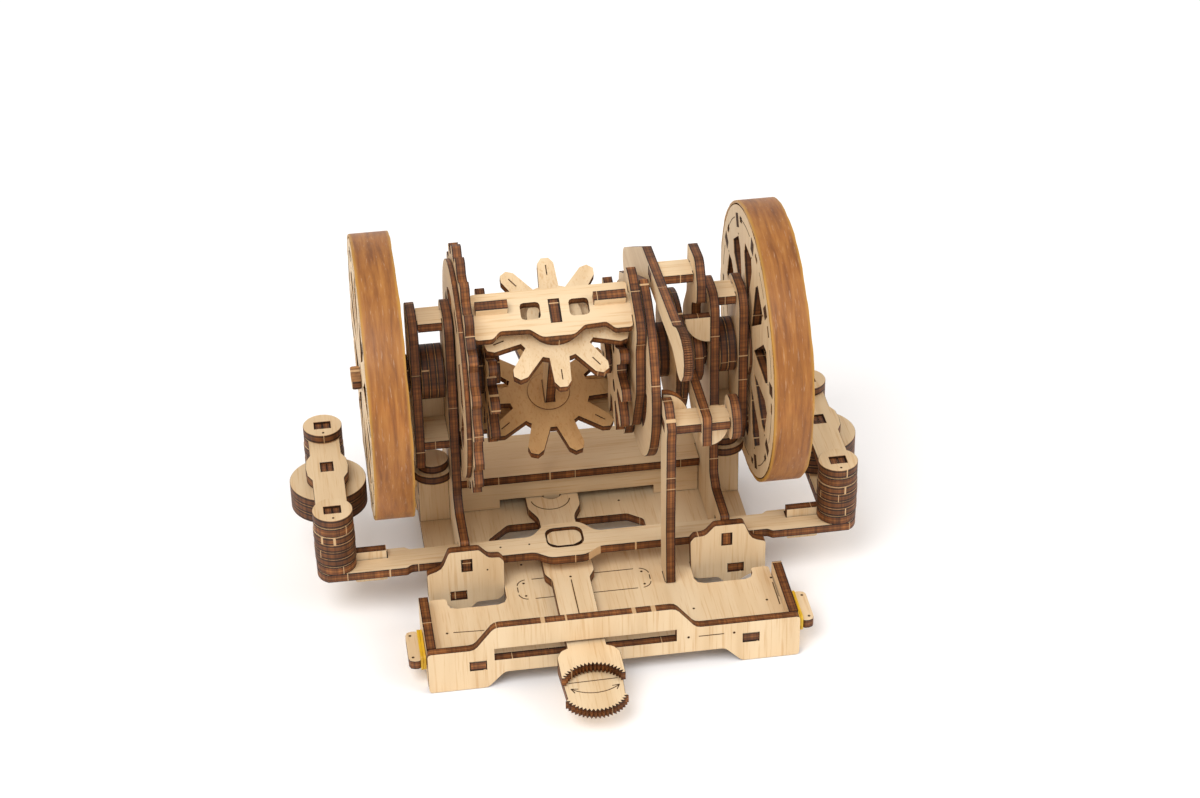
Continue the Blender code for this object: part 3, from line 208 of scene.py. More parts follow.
# %% Where a point lies in its sheet
def plies_passed(tree, point, along, low, ply):
    depth = vector_maths(tree, "DOT_PRODUCT", point, tuple(along))
    return maths(tree, "DIVIDE", maths(tree, "SUBTRACT", depth, low), ply)


def depth_in_ply(tree, point, along, low, ply):
    if ply is None:
        return node(tree, "ShaderNodeAttribute", attribute_name="ply_depth").outputs["Fac"]
    return maths(tree, "FRACT", plies_passed(tree, point, along, low, ply))


def sheet_number(tree, point, along, low, ply):
    if ply is None:
        return node(tree, "ShaderNodeAttribute", attribute_name="ply_number").outputs["Fac"]
    return maths(tree, "FLOOR", plies_passed(tree, point, along, low, ply))


def flattened(tree, point, along):
    lift = node(tree, "ShaderNodeVectorMath", operation="SCALE")
    lift.inputs[0].default_value = tuple(along)
    feed(tree, lift.inputs["Scale"], vector_maths(tree, "DOT_PRODUCT", point, tuple(along)))
    return vector_maths(tree, "SUBTRACT", point, lift.outputs["Vector"])


def stretched(tree, point, grain, along_scale, across_scale):
    return vector_maths(tree, "MULTIPLY", point,
                        tuple(along_scale if abs(g) > 0.5 else across_scale for g in grain))


# %% [markdown]
# A face has three layers: a slow figure, fine dark fibres, and a few longer streaks. Each is the same
# noise, drawn out along the grain by another amount.

# %% The pale face
def face_wood(tree, moved, grain, tint):
    fibres = noise(tree, stretched(tree, moved, grain, 55.0, 1500.0), 1.0, 3.0, 0.6)
    figure = noise(tree, stretched(tree, moved, grain, 12.0, 130.0), 1.0, 2.0, 0.5, 0.6)
    streaks = noise(tree, stretched(tree, moved, grain, 30.0, 620.0), 1.0, 2.0, 0.5, 0.3)
    tones = [(stop, tuple(t * part for t, part in zip(tint, colour))) for stop, colour in FACE_TONES]
    fine = ramp(tree, fibres, [(0.32, (0.82, 0.70, 0.56)), (0.47, WHITE), (1.0, WHITE)])
    long = ramp(tree, streaks, [(0.26, (0.78, 0.60, 0.42)), (0.36, WHITE), (1.0, WHITE)])
    face = blend_colours(tree, "MULTIPLY", 0.70, ramp(tree, figure, tones), fine)
    return blend_colours(tree, "MULTIPLY", 0.55, face, long), fibres


# %% [markdown]
# An edge starts from the veneers' colours. Scorch lines run straight across the sheet, so their noise is
# flattened along the sheet's direction. The nicks lie on the borders of large cells, and each sheet
# reads the cells from another place.

# %% The scorched edge
CELLS_PER_METRE = 27.0
NICK_WIDTH = 0.0025


def edge_wood(tree, point, moved, along, low, ply, veneers):
    flat_place = flattened(tree, moved, along)
    scorch = noise(tree, flat_place, 1100.0, 2.0, 0.7)
    blotch = noise(tree, moved, 120.0, 3.0, 0.6)
    within = depth_in_ply(tree, point, along, low, ply)
    edge = blend_colours(tree, "MULTIPLY", 1.0, ramp(tree, within, veneers),
                         ramp(tree, scorch, [(0.30, (0.50, 0.46, 0.44)), (0.62, (1.22, 1.18, 1.10))]))
    edge = blend_colours(tree, "MULTIPLY", 1.0, edge,
                         ramp(tree, blotch, [(0.30, (0.50, 0.46, 0.42)), (0.70, (1.40, 1.40, 1.35))]))
    hop = node(tree, "ShaderNodeVectorMath", operation="SCALE")
    hop.inputs[0].default_value = (0.0137, 0.0091, 0.0173)
    feed(tree, hop.inputs["Scale"], sheet_number(tree, point, along, low, ply))
    cells = node(tree, "ShaderNodeTexVoronoi", feature="DISTANCE_TO_EDGE")
    feed(tree, cells.inputs["Vector"], vector_maths(tree, "ADD", flat_place, hop.outputs["Vector"]))
    cells.inputs["Scale"].default_value = CELLS_PER_METRE
    nick = maths(tree, "LESS_THAN", cells.outputs["Distance"], NICK_WIDTH)
    return blend_colours(tree, "MIX", maths(tree, "MULTIPLY", nick, 0.8), edge, (0.66, 0.43, 0.22)), scorch


print("pale nicks come about every", round(1000 / CELLS_PER_METRE), "mm")

# %% [markdown]
# The material shows the face where the surface looks along the sheet's direction, and the edge
# elsewhere. The same fibres and scorch lines also lift the surface a little.

# %% The plywood material
FACE_LIMIT = 0.8


def plywood(title, along, low, ply, grain, piled=False, tone=1.0, shift=0.0):
    made, tree, shader, place = new_finish(title)
    point, normal = place.outputs["Object"], place.outputs["Normal"]
    moved = vector_maths(tree, "ADD", point, (shift, shift * 0.7, -shift))
    facing = maths(tree, "ABSOLUTE", vector_maths(tree, "DOT_PRODUCT", normal, tuple(along)))
    is_face = maths(tree, "GREATER_THAN", facing, FACE_LIMIT)
    face, fibres = face_wood(tree, moved, grain, tone if isinstance(tone, tuple) else (tone,) * 3)
    edge, scorch = edge_wood(tree, point, moved, along, low, ply, PILED if piled else VENEERS)
    tree.links.new(blend_colours(tree, "MIX", is_face, edge, face), shader.inputs["Base Color"])
    rough = maths(tree, "ADD", 0.50, maths(tree, "MULTIPLY", fibres, 0.16))
    tree.links.new(rough, shader.inputs["Roughness"])
    shader.inputs["Specular IOR Level"].default_value = 0.35
    height = maths(tree, "ADD", maths(tree, "MULTIPLY", fibres, is_face),
                   maths(tree, "MULTIPLY", scorch, maths(tree, "SUBTRACT", 1.0, is_face)))
    roughen(tree, shader, height, 0.22, 0.0002)
    return made


print("a face looks within", round(math.degrees(math.acos(FACE_LIMIT))), "degrees of its sheet's direction")

# %% [markdown]
# Every plate gets its own copy of the material, because each lies at its own depth and turns its
# grain its own way. The plate's direction is the one in which it is thinnest, apart from the leaning
# plates of the gear cage, whose direction is the spider axle's.

# %% Which way each sheet lies
def pairs(*names):
    return [side + name for name in names for side in ("left_", "right_")]


ALONG_X = pairs("end_panel", "side_plate", "outer_post", "side_gear", "wheel", "axle") + [
    "tall_plate", "stop_bar", "stop_cap", "lock_lever", "lock_fork", "ring_gear", "backing_plate",
    "carrier_plate", "flange_plate", "spider_axle"]
ALONG_Y = pairs("bracket", "foot_plate") + ["front_panel", "rear_web", "rear_wall"]
LEANING = ["upper_cross_plate", "upper_spider_gear", "lower_cross_plate", "lower_spider_gear"]
PILES = pairs("wheel", "axle", "foot_discs", "roller") + [
    "front_left_stack", "front_right_stack", "rear_left_stack", "rear_right_stack"]
GRAIN_X = pairs("post_tie") + ["crossbar", "rear_shelf", "stop_tie", "lock_tie", "rear_web",
                               "upper_cross_plate", "lower_cross_plate"]
GRAIN_Y = ["lock_lever", "stop_bar"]


def sheet_direction(name):
    if name in ALONG_X:
        return Vector(X)
    if name in ALONG_Y:
        return Vector(Y)
    return SPIDER if name in LEANING else Vector(Z)


def grain_of(name, along):
    if name in GRAIN_X:
        return X
    return Y if name in GRAIN_Y or abs(along.z) > 0.8 else Z


print(len(ALONG_X), "sheets face sideways and", len(ALONG_Y), "face the front")

# %% [markdown]
# A sheet's tone varies a little from piece to piece. The parts that lie deep inside the frame, such as
# the lower gear, get warmer and mostly darker tints that are painted shade, the warm shade they sit in.

# %% Give every drawn plate its plywood
# Painted shade: warmer, mostly darker tints for the parts that lie in the frame's deep, warm shade
PAINTED_SHADE_TINTS = {"lower_spider_gear": (0.72, 0.56, 0.38), "lower_cross_plate": (0.85, 0.75, 0.60),
          "rear_shelf": (0.96, 0.90, 0.82), "rear_wall": (1.05, 0.97, 0.82)}
WHEEL_PLIES = 4
THICKEST_SHEET = 0.0035
HAIR = 1e-5


def finish_plate(piece, name, along, number):
    depths = [vertex.co.dot(along) for vertex in piece.data.vertices]
    low, high = min(depths), max(depths)
    if name in pairs("wheel"):
        ply = (high - low) / WHEEL_PLIES
    else:
        ply = high - low if high - low < THICKEST_SHEET else PLY * MM
    if name == "lower_cross_plate":
        low = high - PLY * MM
    # Parts listed above get their painted shade tint, and every other plate gets a small random tone
    tone = PAINTED_SHADE_TINTS.get(name, 1.0 - 0.05 * ((number * 7) % 5) / 5)
    finish = plywood(name + "_wood", along, low - HAIR, ply + 2 * HAIR, grain_of(name, along), name in PILES,
                     tone, 0.013 * number)
    piece.data.materials.clear()
    piece.data.materials.append(finish)


for number, (name, piece) in enumerate(sorted(nodes.items())):
    finish_plate(piece, name, sheet_direction(name), number)
print("plywood on", len(nodes), "pieces")

# %% [markdown]
# ## Tools for new pieces
# The small round pieces of the real kit are piles of separate plies, so they are remade here one ply at
# a time. A round ply starts as a cylinder and gets a tiny bevel, because a laser leaves a slightly
# rounded rim that catches light. A ply of another outline starts as a flat curve, as it would in the
# cutter's drawing, and becomes a mesh before it is put in place. Each vertex keeps how deep it lies in
# its own ply, and the plywood material reads that number to colour the veneers. A second number, the
# same on a whole ply, moves the pale nicks about, so that they don't line up through a pile.

# %% Helpers that cut one ply
# SIDEWAYS turns a ply drawn flat so that it faces along the axle, and UPRIGHT so that it faces the front
SIDEWAYS = Matrix(((0, 0, 1, 0), (1, 0, 0, 0), (0, 1, 0, 0), (0, 0, 0, 1)))
UPRIGHT = Matrix(((1, 0, 0, 0), (0, 0, -1, 0), (0, 1, 0, 0), (0, 0, 0, 1)))
RIM = 0.12
print("each cut rim is rounded by", RIM, "mm")


def only(piece):
    bpy.ops.object.select_all(action="DESELECT")
    piece.select_set(True)
    bpy.context.view_layer.objects.active = piece


def note_depth(piece, low, thickness):
    depths = piece.data.attributes.new("ply_depth", "FLOAT", "POINT")
    for number, vertex in enumerate(piece.data.vertices):
        depths.data[number].value = (vertex.co.z / MM - low) / thickness
    piece.data.attributes.new("ply_number", "FLOAT", "POINT")


def soften(piece, width=RIM, segments=1):
    bevel = piece.modifiers.new("rim", "BEVEL")
    bevel.width = width * MM
    bevel.segments = segments
    bevel.limit_method = "ANGLE"
    bevel.angle_limit = math.radians(40)
    bpy.ops.object.modifier_apply(modifier=bevel.name)


def disc(radius, low, thickness, centre=(0.0, 0.0), around=48):
    bpy.ops.object.select_all(action="DESELECT")
    middle = (centre[0] * MM, centre[1] * MM, (low + thickness / 2) * MM)
    bpy.ops.mesh.primitive_cylinder_add(vertices=around, radius=radius * MM, depth=thickness * MM,
                                        location=middle)
    piece = bpy.context.object
    bpy.ops.object.transform_apply(location=True, rotation=True, scale=True)
    soften(piece)
    note_depth(piece, low, thickness)
    return piece


def cut_ply(low, thickness, outline, *holes):
    drawing = bpy.data.curves.new("outline", "CURVE")
    drawing.dimensions = "2D"
    drawing.fill_mode = "BOTH"
    drawing.extrude = (thickness / 2 - RIM) * MM
    drawing.bevel_depth = RIM * MM
    drawing.bevel_resolution = 0
    drawing.offset = -RIM * MM
    for points in (outline, *holes):
        line = drawing.splines.new("POLY")
        line.points.add(len(points) - 1)
        for point, (u, v) in zip(line.points, points):
            point.co = (u * MM, v * MM, 0.0, 1.0)
        line.use_cyclic_u = True
    piece = bpy.data.objects.new("ply", drawing)
    bpy.context.scene.collection.objects.link(piece)
    only(piece)
    bpy.ops.object.convert(target="MESH")
    piece = bpy.context.object
    piece.data.transform(Matrix.Translation((0.0, 0.0, (low + thickness / 2) * MM)))
    bpy.ops.object.mode_set(mode="EDIT")
    bpy.ops.mesh.select_all(action="SELECT")
    bpy.ops.mesh.remove_doubles(threshold=1e-6)
    bpy.ops.mesh.normals_make_consistent(inside=False)
    bpy.ops.object.mode_set(mode="OBJECT")
    note_depth(piece, low, thickness)
    return piece


def copied(piece, move):
    twin = piece.copy()
    twin.data = piece.data.copy()
    bpy.context.scene.collection.objects.link(twin)
    twin.data.transform(move)
    for value in twin.data.attributes["ply_number"].data:
        value.value += move.translation.length / MM
    return twin


def moved_by(x, y, z):
    return Matrix.Translation((x * MM, y * MM, z * MM))


def from_front(x=0.0, z=0.0):
    return moved_by(x, FRONT, z)


def on_axle(x=0.0):
    return Matrix.Translation((x * MM, AXLE_Y, AXLE_Z))


def joined(pieces, place=None):
    bpy.ops.object.select_all(action="DESELECT")
    for piece in pieces:
        piece.select_set(True)
    bpy.context.view_layer.objects.active = pieces[0]
    if len(pieces) > 1:
        bpy.ops.object.join()
    piece = bpy.context.object
    if place:
        piece.data.transform(place)
    return piece


def dress(piece, title, body, finish, stands_for=()):
    piece.name = title
    piece.data.name = title
    piece.data.materials.clear()
    piece.data.materials.append(finish)
    only(piece)
    bpy.ops.object.shade_smooth_by_angle(angle=math.radians(32))
    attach(piece, body)
    if stands_for:
        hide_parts(*stands_for)
    print(title, "has", len(piece.data.polygons), "faces")
    return piece


def finish_ply(pieces, place, title, body, along, grain, number, stands_for=(), piled=False):
    wood = plywood(title + "_wood", Vector(along), 0.0, None, grain, piled, 1.0 - 0.01 * (number % 5),
                   0.017 * number + 0.5)
    return dress(joined(pieces, place), title, body, wood, stands_for)


# %% [markdown]
# Outlines are lists of points in millimetres. A corner may carry a radius, and is then drawn as a short
# arc, because a laser beam never cuts a perfectly sharp inner corner. An outline that is the same on its
# left and its right is given by its right side alone.

# %% Helpers that draw outlines
def round_line(radius, start=0.0, end=360.0, centre=(0.0, 0.0), steps=48):
    full = abs(end - start) >= 360.0
    count = steps if full else steps + 1
    turns = [math.radians(start + (end - start) * i / steps) for i in range(count)]
    return [(centre[0] + radius * math.cos(t), centre[1] + radius * math.sin(t)) for t in turns]


def polar(centre, radius, turn):
    t = math.radians(turn)
    return (centre[0] + radius * math.cos(t), centre[1] + radius * math.sin(t))


def box_line(u0, v0, u1, v1):
    return [(u0, v0), (u1, v0), (u1, v1), (u0, v1)]


def both_sides(right):
    return right + [(-corner[0], *corner[1:]) for corner in right[::-1]]


def cornered(points, steps=5):
    drawn = []
    for i, point in enumerate(points):
        here = Vector(point[:2])
        if len(point) < 3:
            drawn.append(tuple(here))
            continue
        before = (Vector(points[i - 1][:2]) - here).normalized()
        after = (Vector(points[(i + 1) % len(points)][:2]) - here).normalized()
        half = before.angle(after) / 2
        reach = point[2] / math.tan(half)
        centre = here + (before + after).normalized() * (point[2] / math.sin(half))
        first = here + before * reach - centre
        last = here + after * reach - centre
        sweep = math.pi - 2 * half
        side = 1.0 if first.x * last.y - first.y * last.x > 0 else -1.0
        for step in range(steps + 1):
            turn = side * sweep * step / steps
            c, s = math.cos(turn), math.sin(turn)
            drawn.append((centre.x + first.x * c - first.y * s, centre.y + first.x * s + first.y * c))
    return drawn


def round_box(u0, v0, u1, v1, radius):
    return cornered([(u, v, radius) for u, v in box_line(u0, v0, u1, v1)])


print("a rounded square has", len(round_box(0, 0, 9, 9, 1)), "points")

# %% [markdown]
# ## Tyres
# Each wheel wears a wide flat band of amber rubber, stretched round the rim. It is a ring rather than a
# doughnut: a cylinder without caps, given a wall with Solidify and soft lips with Bevel. A stretched
# band never lies quite straight, so its lips wander by a tenth of a millimetre.

# %% Rubber finishes
def streaky_rubber(title, dark, middle, light, long_stretch, fine_stretch):
    made, tree, shader, place = new_finish(title)
    point = place.outputs["Object"]
    long_noise = noise(tree, vector_maths(tree, "MULTIPLY", point, long_stretch), 1.0, 4.0, 0.55, 0.4)
    grain = noise(tree, vector_maths(tree, "MULTIPLY", point, fine_stretch), 1.0, 3.0, 0.65, 0.2)
    clouds = noise(tree, point, 70.0, 3.0, 0.55)
    body = ramp(tree, long_noise, [(0.30, dark), (0.50, middle), (0.72, light)])
    cloud = ramp(tree, clouds, [(0.30, (0.80, 0.70, 0.62)), (0.55, WHITE), (0.78, (1.12, 1.02, 0.95))])
    body = blend_colours(tree, "MULTIPLY", 0.8, body, cloud)
    scratch = ramp(tree, grain, [(0.60, BLACK), (0.70, WHITE)])
    body = blend_colours(tree, "MIX", maths(tree, "MULTIPLY", scratch, 0.30), body, (0.62, 0.42, 0.27))
    return made, tree, shader, place, body, grain


def finish_rubber(tree, shader, body, grain, rough, strength):
    tree.links.new(body, shader.inputs["Base Color"])
    uneven = maths(tree, "ADD", rough, maths(tree, "MULTIPLY", grain, 0.25))
    tree.links.new(uneven, shader.inputs["Roughness"])
    shader.inputs["Specular IOR Level"].default_value = 0.45
    roughen(tree, shader, grain, strength, 0.0003)


def tyre_rubber(title, centre_x):
    made, tree, shader, place, body, grain = streaky_rubber(
        title, (0.190, 0.062, 0.010), (0.300, 0.108, 0.016), (0.400, 0.165, 0.032),
        (620.0, 62.0, 62.0), (1900.0, 210.0, 210.0))
    across = node(tree, "ShaderNodeSeparateXYZ")
    feed(tree, across.inputs[0], place.outputs["Object"])
    off = maths(tree, "ABSOLUTE", maths(tree, "SUBTRACT", across.outputs["X"], centre_x))
    lip = ramp(tree, maths(tree, "MULTIPLY", off, 100.0), [(0.50, BLACK), (0.62, WHITE)], smooth=True)
    body = blend_colours(tree, "MIX", maths(tree, "MULTIPLY", lip, 0.70), body, (0.500, 0.260, 0.035))
    finish_rubber(tree, shader, body, grain, 0.36, 0.35)
    return made


# %% Make the tyres
WHEEL_WIDTH = 12.4
TYRE_OUT = 45.3
TYRE_WALL = 1.0


def tyre(side):
    name = "left" if side < 0 else "right"
    low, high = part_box(name + "_tyre")
    centre_x = (low[0] + high[0]) / 2
    bpy.ops.object.select_all(action="DESELECT")
    bpy.ops.mesh.primitive_cylinder_add(vertices=144, radius=TYRE_OUT * MM, depth=WHEEL_WIDTH * MM,
                                        end_fill_type="NOTHING", rotation=(0.0, math.radians(90), 0.0))
    ring = bpy.context.object
    bpy.ops.object.transform_apply(location=True, rotation=True, scale=True)
    wall = ring.modifiers.new("wall", "SOLIDIFY")
    wall.thickness = TYRE_WALL * MM
    wall.offset = -1.0
    bpy.ops.object.modifier_apply(modifier=wall.name)
    soften(ring, 0.28, 3)
    for vertex in ring.data.vertices:
        turn = math.atan2(vertex.co.z, vertex.co.y)
        wander = 0.10 * math.sin(7 * turn + side) + 0.07 * math.sin(19 * turn) + 0.04 * math.sin(43 * turn)
        vertex.co.x += wander * MM * (1.0 if vertex.co.x > 0 else 0.8)
        vertex.co.y *= 1.0 + 0.0012 * math.sin(11 * turn)
    ring.data.transform(on_axle(centre_x / MM))
    dress(ring, name + "_rubber_tyre", name + "_drive", tyre_rubber(name + "_tyre_rubber", centre_x),
          (name + "_tyre",))


tyre(-1)
tyre(1)

# %% [markdown]
# ## Rubber bands on the side tabs
# A small yellow band is wound twice round the neck of each side tab, and holds the tray's end panels on.
# Each turn is a thin rounded loop, and the second is a copy of the first.

# %% Make the rubber bands
BAND = 1.0


def band_rubber(title):
    made, tree, shader, _, body, grain = streaky_rubber(
        title, (0.640, 0.370, 0.010), (0.760, 0.470, 0.015), (0.840, 0.560, 0.050),
        (1500.0, 160.0, 160.0), (3000.0, 400.0, 400.0))
    finish_rubber(tree, shader, body, grain, 0.30, 0.25)
    return made


def rubber_band(side):
    name = "left" if side < 0 else "right"
    low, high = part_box(name + "_rubber_band")
    y0, y1, z0, z1 = (1000 * v for v in (low[1], high[1], low[2], high[2]))
    inner = box_line(y0 + BAND, z0 + BAND, y1 - BAND, z1 - BAND)
    middle = 500 * (low[0] + high[0])
    turn = cut_ply(middle - 0.86, 0.84, round_box(y0, z0, y1, z1, 1.2), inner)
    second = copied(turn, moved_by(0, 0, 0.88))
    dress(joined([turn, second], SIDEWAYS), name + "_yellow_band", "frame",
          band_rubber(name + "_band_rubber"), (name + "_rubber_band",))


rubber_band(-1)
rubber_band(1)

# %% [markdown]
# ## Brake arms, piles and rollers
# On each side a long lower arm and a shorter upper arm run from front to rear, and piles of round plies
# hold them apart. Each pile ends in a cap with a slot, where the ends of two pegs show. The arms' ends
# are round and as wide as the piles, so every arm is cut again here with that outline.

# %% Sizes of the brake's side pieces
ARM_X = 81.0
CROSSBAR_Y = 44.3
PILE_Y = (CROSSBAR_Y, 92.3)
ROLLER_Y = 73.0
PILE_RADIUS = 6.5
ARM_END = 6.35
ARM_HALF = 5.1
LOWER_Z = 20.4
PILE_LOW = 23.7
PILE_STEP = 2.8
ROLLER_Z = 24.4
WASHER_Z = 33.4
UPPER_Z = 35.2
CAP_Z = 38.5
print("each arm is", PILE_Y[1] - PILE_Y[0] + 2 * ARM_END, "mm long")


# %% Draw the arms and the pegs
def arm_line(with_bulge):
    front, rear = PILE_Y
    past = 90 - math.degrees(math.asin(ARM_HALF / ARM_END))
    head = round_line(ARM_END, 180 - past, 360 + past, (0, front), 30)
    tail = round_line(ARM_END, -past, 180 + past, (0, rear), 30)
    if not with_bulge:
        return head + tail
    right = [(ARM_HALF, ROLLER_Y - 7.0), (6.5, ROLLER_Y - 4.2), (6.9, ROLLER_Y), (6.5, ROLLER_Y + 4.2),
             (ARM_HALF, ROLLER_Y + 7.0)]
    left = [(-u, v) for u, v in right[::-1]]
    return head + right + tail + left


def peg_pair(y, low, high, width, depth):
    pegs = []
    for start in (-width - 0.06, 0.06):
        peg = cut_ply(start, width, box_line(y - depth / 2, low, y + depth / 2, high))
        peg.data.transform(SIDEWAYS)
        pegs.append(peg)
    return pegs


print("the upper arm's outline has", len(arm_line(True)), "points")


# %% Cut the arms, piles and rollers
def pile(title, place, y, number):
    ply = disc(PILE_RADIUS, PILE_LOW, PILE_STEP, (0.0, y))
    slips = [moved_by(0.05 * (-1) ** i, 0.07 * (i % 2), i * PILE_STEP) for i in (1, 2, 3)]
    slot = box_line(-2.7, y - 2.0, 2.7, y + 2.0)
    cap = cut_ply(CAP_Z, PLY, round_line(ARM_END, centre=(0.0, y)), slot)
    core = disc(3.4, UPPER_Z - 0.3, 3.6, (0.0, y), 24)
    finish_ply([ply, *(copied(ply, slip) for slip in slips), cap, core], place, title + "_pile",
               "brake_frame", Z, Y, number, (title + "_stack",), piled=True)


def brake_side(name, side, number):
    place = from_front(side * ARM_X)
    finish_ply([cut_ply(LOWER_Z, PLY, arm_line(False))], place, name + "_lower_arm_ply", "brake_frame",
               Z, Y, number, (name + "_lower_arm",))
    pegs = peg_pair(ROLLER_Y, LOWER_Z + 1.0, CAP_Z - 0.9, 1.85, 4.9)
    pegs += [peg for y in PILE_Y for peg in peg_pair(y, CAP_Z, CAP_Z + 2.3, 2.45, 3.7)]
    finish_ply(pegs, place, name + "_peg_pairs", "brake_frame", X, Z, number + 5)
    hole = box_line(-2.05, ROLLER_Y - 2.6, 2.05, ROLLER_Y + 2.6)
    finish_ply([cut_ply(UPPER_Z, PLY, arm_line(True), hole)], place, name + "_upper_arm_ply",
               "brake_frame", Z, Y, number + 1, (name + "_upper_arm",))
    for end, y in zip(("front_", "rear_"), PILE_Y):
        pile(end + name, place, y, number + 2)
    bore = round_line(2.9, centre=(0.0, ROLLER_Y), steps=24)
    wheel = cut_ply(ROLLER_Z, PLY, round_line(12.3, centre=(0.0, ROLLER_Y), steps=72), bore)
    plies = [wheel] + [copied(wheel, moved_by(0.0, 0.0, PLY * i)) for i in (1, 2)]
    washer = cut_ply(WASHER_Z, 1.2, round_line(6.8, centre=(0.0, ROLLER_Y)), bore)
    finish_ply([*plies, washer], place, name + "_roller_plies", name + "_brake_roller", Z, Y, number + 4,
               (name + "_roller",), piled=True)


brake_side("left", -1, 60)
brake_side("right", 1, 70)

# %% [markdown]
# ## Selector and crossbar
# The lever's thumb end is two plies thick. The upper one is scooped out and the lower one bulges, and
# both rims are toothed for grip. Further back a rounded key on the lever fills the eye of the crossbar,
# which swells on both sides to make room for it.

# %% Cut the selector
THUMB_HALF = 9.8
TOE_Z = 7.3
LEVER_Z = 10.6
KEY_Z = 13.8
RIM_TEETH = 19
TOE_TIP = 10.55
PIVOT_Y = 80.5


def toothed(centre, radius, deep, start, end, teeth=RIM_TEETH):
    return [polar(centre, radius - deep * (i % 2), start + (end - start) * i / (2 * teeth))
            for i in range(2 * teeth + 1)]


def lever_ply():
    scoop = toothed((0.0, -20.9), 10.9, 1.3, 154.5, 25.5)
    body = [(THUMB_HALF, -6.0, 2.5), (8.3, -3.2, 2.0), (6.1, -2.0), (6.1, 33.0, 2.0), (8.0, 36.5, 2.0),
            (8.0, 50.0, 2.5), (5.9, 57.0, 4.0), (5.9, 67.0, 8.0), (8.8, 73.0, 6.0), (8.8, 80.0, 4.0),
            (5.8, 87.5, 5.0), (1.5, 89.0)]
    bore = round_line(3.35, centre=(0.0, PIVOT_Y), steps=16)
    return cut_ply(LEVER_Z, PLY, cornered(scoop + both_sides(body)), bore)


def toe_ply():
    fit = TOE_TIP / 11.9
    bulge = toothed((0.0, -18.85), 10.6 * fit, -1.3 * fit, 200.2, 339.8)
    return cut_ply(TOE_Z, PLY, cornered(bulge + both_sides([(THUMB_HALF, -6.0, 2.5), (8.3, -1.4, 1.0)])))


def key_ply():
    right = [(5.6, 51.5, 3.0), (5.6, 45.2, 2.5), (2.6, 43.4, 2.0)]
    return cut_ply(KEY_Z, 5.4, cornered(both_sides(right)[::-1]))


for piece, title, node_name, number in ((lever_ply(), "lever_ply", "selector_lever", 90),
                                        (toe_ply(), "toe_ply", "selector_toe", 91),
                                        (key_ply(), "lever_key", "selector_key", 92)):
    finish_ply([piece], from_front(DIFF_X), title, "selector", Z, Y, number, (node_name,))

# %% [markdown]
# The crossbar is one long ply. Its two ends are round, its middle swells round the eye, and on each end
# a slot holds the foot under the arms. The swell lies on the lever's line and not on the bar's middle.

# %% Cut the crossbar
CROSSBAR_Z = 17.1


def crossbar_edge(way, peak):
    steps = [(73.0, 5.6), (59.0, 5.6), (57.5, 4.3)]
    swell = [(10.5, 4.3, 4.0), (5.8, peak, 5.0), (-5.8, peak, 5.0), (-10.5, 4.3, 4.0)]
    return ([(way * u, way * v, 1.5) for u, v in steps]
            + [(DIFF_X + way * u, way * v, radius) for u, v, radius in swell]
            + [(-way * u, way * v, 1.5) for u, v in steps[::-1]])


def crossbar_line():
    right, left = (round_line(6.3, turn - 60, turn + 60, (side * ARM_X, 0.0), 8)
                   for side, turn in ((1, 0), (-1, 180)))
    drawn = [*right, *crossbar_edge(1, 10.2), *left, *crossbar_edge(-1, 7.9)]
    return cornered([(u, v + CROSSBAR_Y, *radius) for u, v, *radius in drawn])


eye = cornered([(DIFF_X - 5.95, 41.4, 3.5), (DIFF_X + 5.95, 41.4, 3.5), (DIFF_X + 5.95, 51.9, 3.0),
                (DIFF_X - 5.95, 51.9, 3.0)])
foot_slots = [box_line(middle - 5.5, 45.1, middle + 5.5, 48.7) for middle in (-70.2, 70.2)]
crossbar = cut_ply(CROSSBAR_Z, PLY, crossbar_line(), eye, *foot_slots)
finish_ply([crossbar], from_front(), "crossbar_ply", "brake_frame", Z, X, 94, ("crossbar",))

# %% [markdown]
# ## Axles
# The real axles aren't turned rods. Each is a pair of long plywood strips, halved into each other so
# that their section is a cross, with round plies threaded on as spacers. Outside the wheel the flat
# strip ends in a wider key, which holds the wheel on. The strips and plies are cut here in that way.

# %% Make the axles
LEFT_RUNS = [(-55.3, -53.2, 6.0), (-49.4, -42.2, 8.7), (-33.2, -29.9, 8.7), (-26.3, -24.4, 6.0)]
RIGHT_RUNS = [(9.2, 11.1, 6.0), (14.7, 15.6, 8.7), (22.7, 29.2, 8.7), (29.3, 31.2, 19.5), (31.5, 33.4, 19.5),
              (33.7, 35.6, 8.7), (40.4, 41.6, 6.0), (45.4, 50.8, 8.7), (54.5, 55.45, 10.6)]
FLAT_HALF = 4.1
TALL_HALF = 4.0
KEY_HALF = 4.6
SPACER = 2.6
FLAT_STRIP = Matrix(((0, 1, 0, 0), (0, 0, 1, 0), (1, 0, 0, 0), (0, 0, 0, 1)))
TALL_STRIP = Matrix(((0, 0, -1, 0), (0, 1, 0, 0), (1, 0, 0, 0), (0, 0, 0, 1)))


def spaced_plies(start, end, radius):
    count = max(1, round((end - start) / SPACER))
    ply = disc(radius, start, (end - start) / count, around=60 if radius > 10 else 40)
    return [ply] + [copied(ply, moved_by(0, 0, i * (end - start) / count)) for i in range(1, count)]


def strip(outline, turn):
    piece = cut_ply(-PLY / 2, PLY, outline)
    piece.data.transform(turn)
    return piece


def axle(name, start, end, key, runs, number):
    pieces = [ply for run in runs for ply in spaced_plies(*run)]
    inner, outer = (end, start) if name == "left" else (start, end)
    near, far = sorted((key, inner))
    low, high = sorted((key, outer))
    pieces.append(strip(box_line(near, -FLAT_HALF, far, FLAT_HALF), FLAT_STRIP))
    pieces.append(strip(round_box(low, -KEY_HALF, high, KEY_HALF, 0.8), FLAT_STRIP))
    pieces.append(strip(box_line(near, -TALL_HALF, far, TALL_HALF), TALL_STRIP))
    finish_ply(pieces, on_axle() @ SIDEWAYS, name + "_axle_plies", name + "_drive", X, Z, number,
               (name + "_axle",), piled=True)


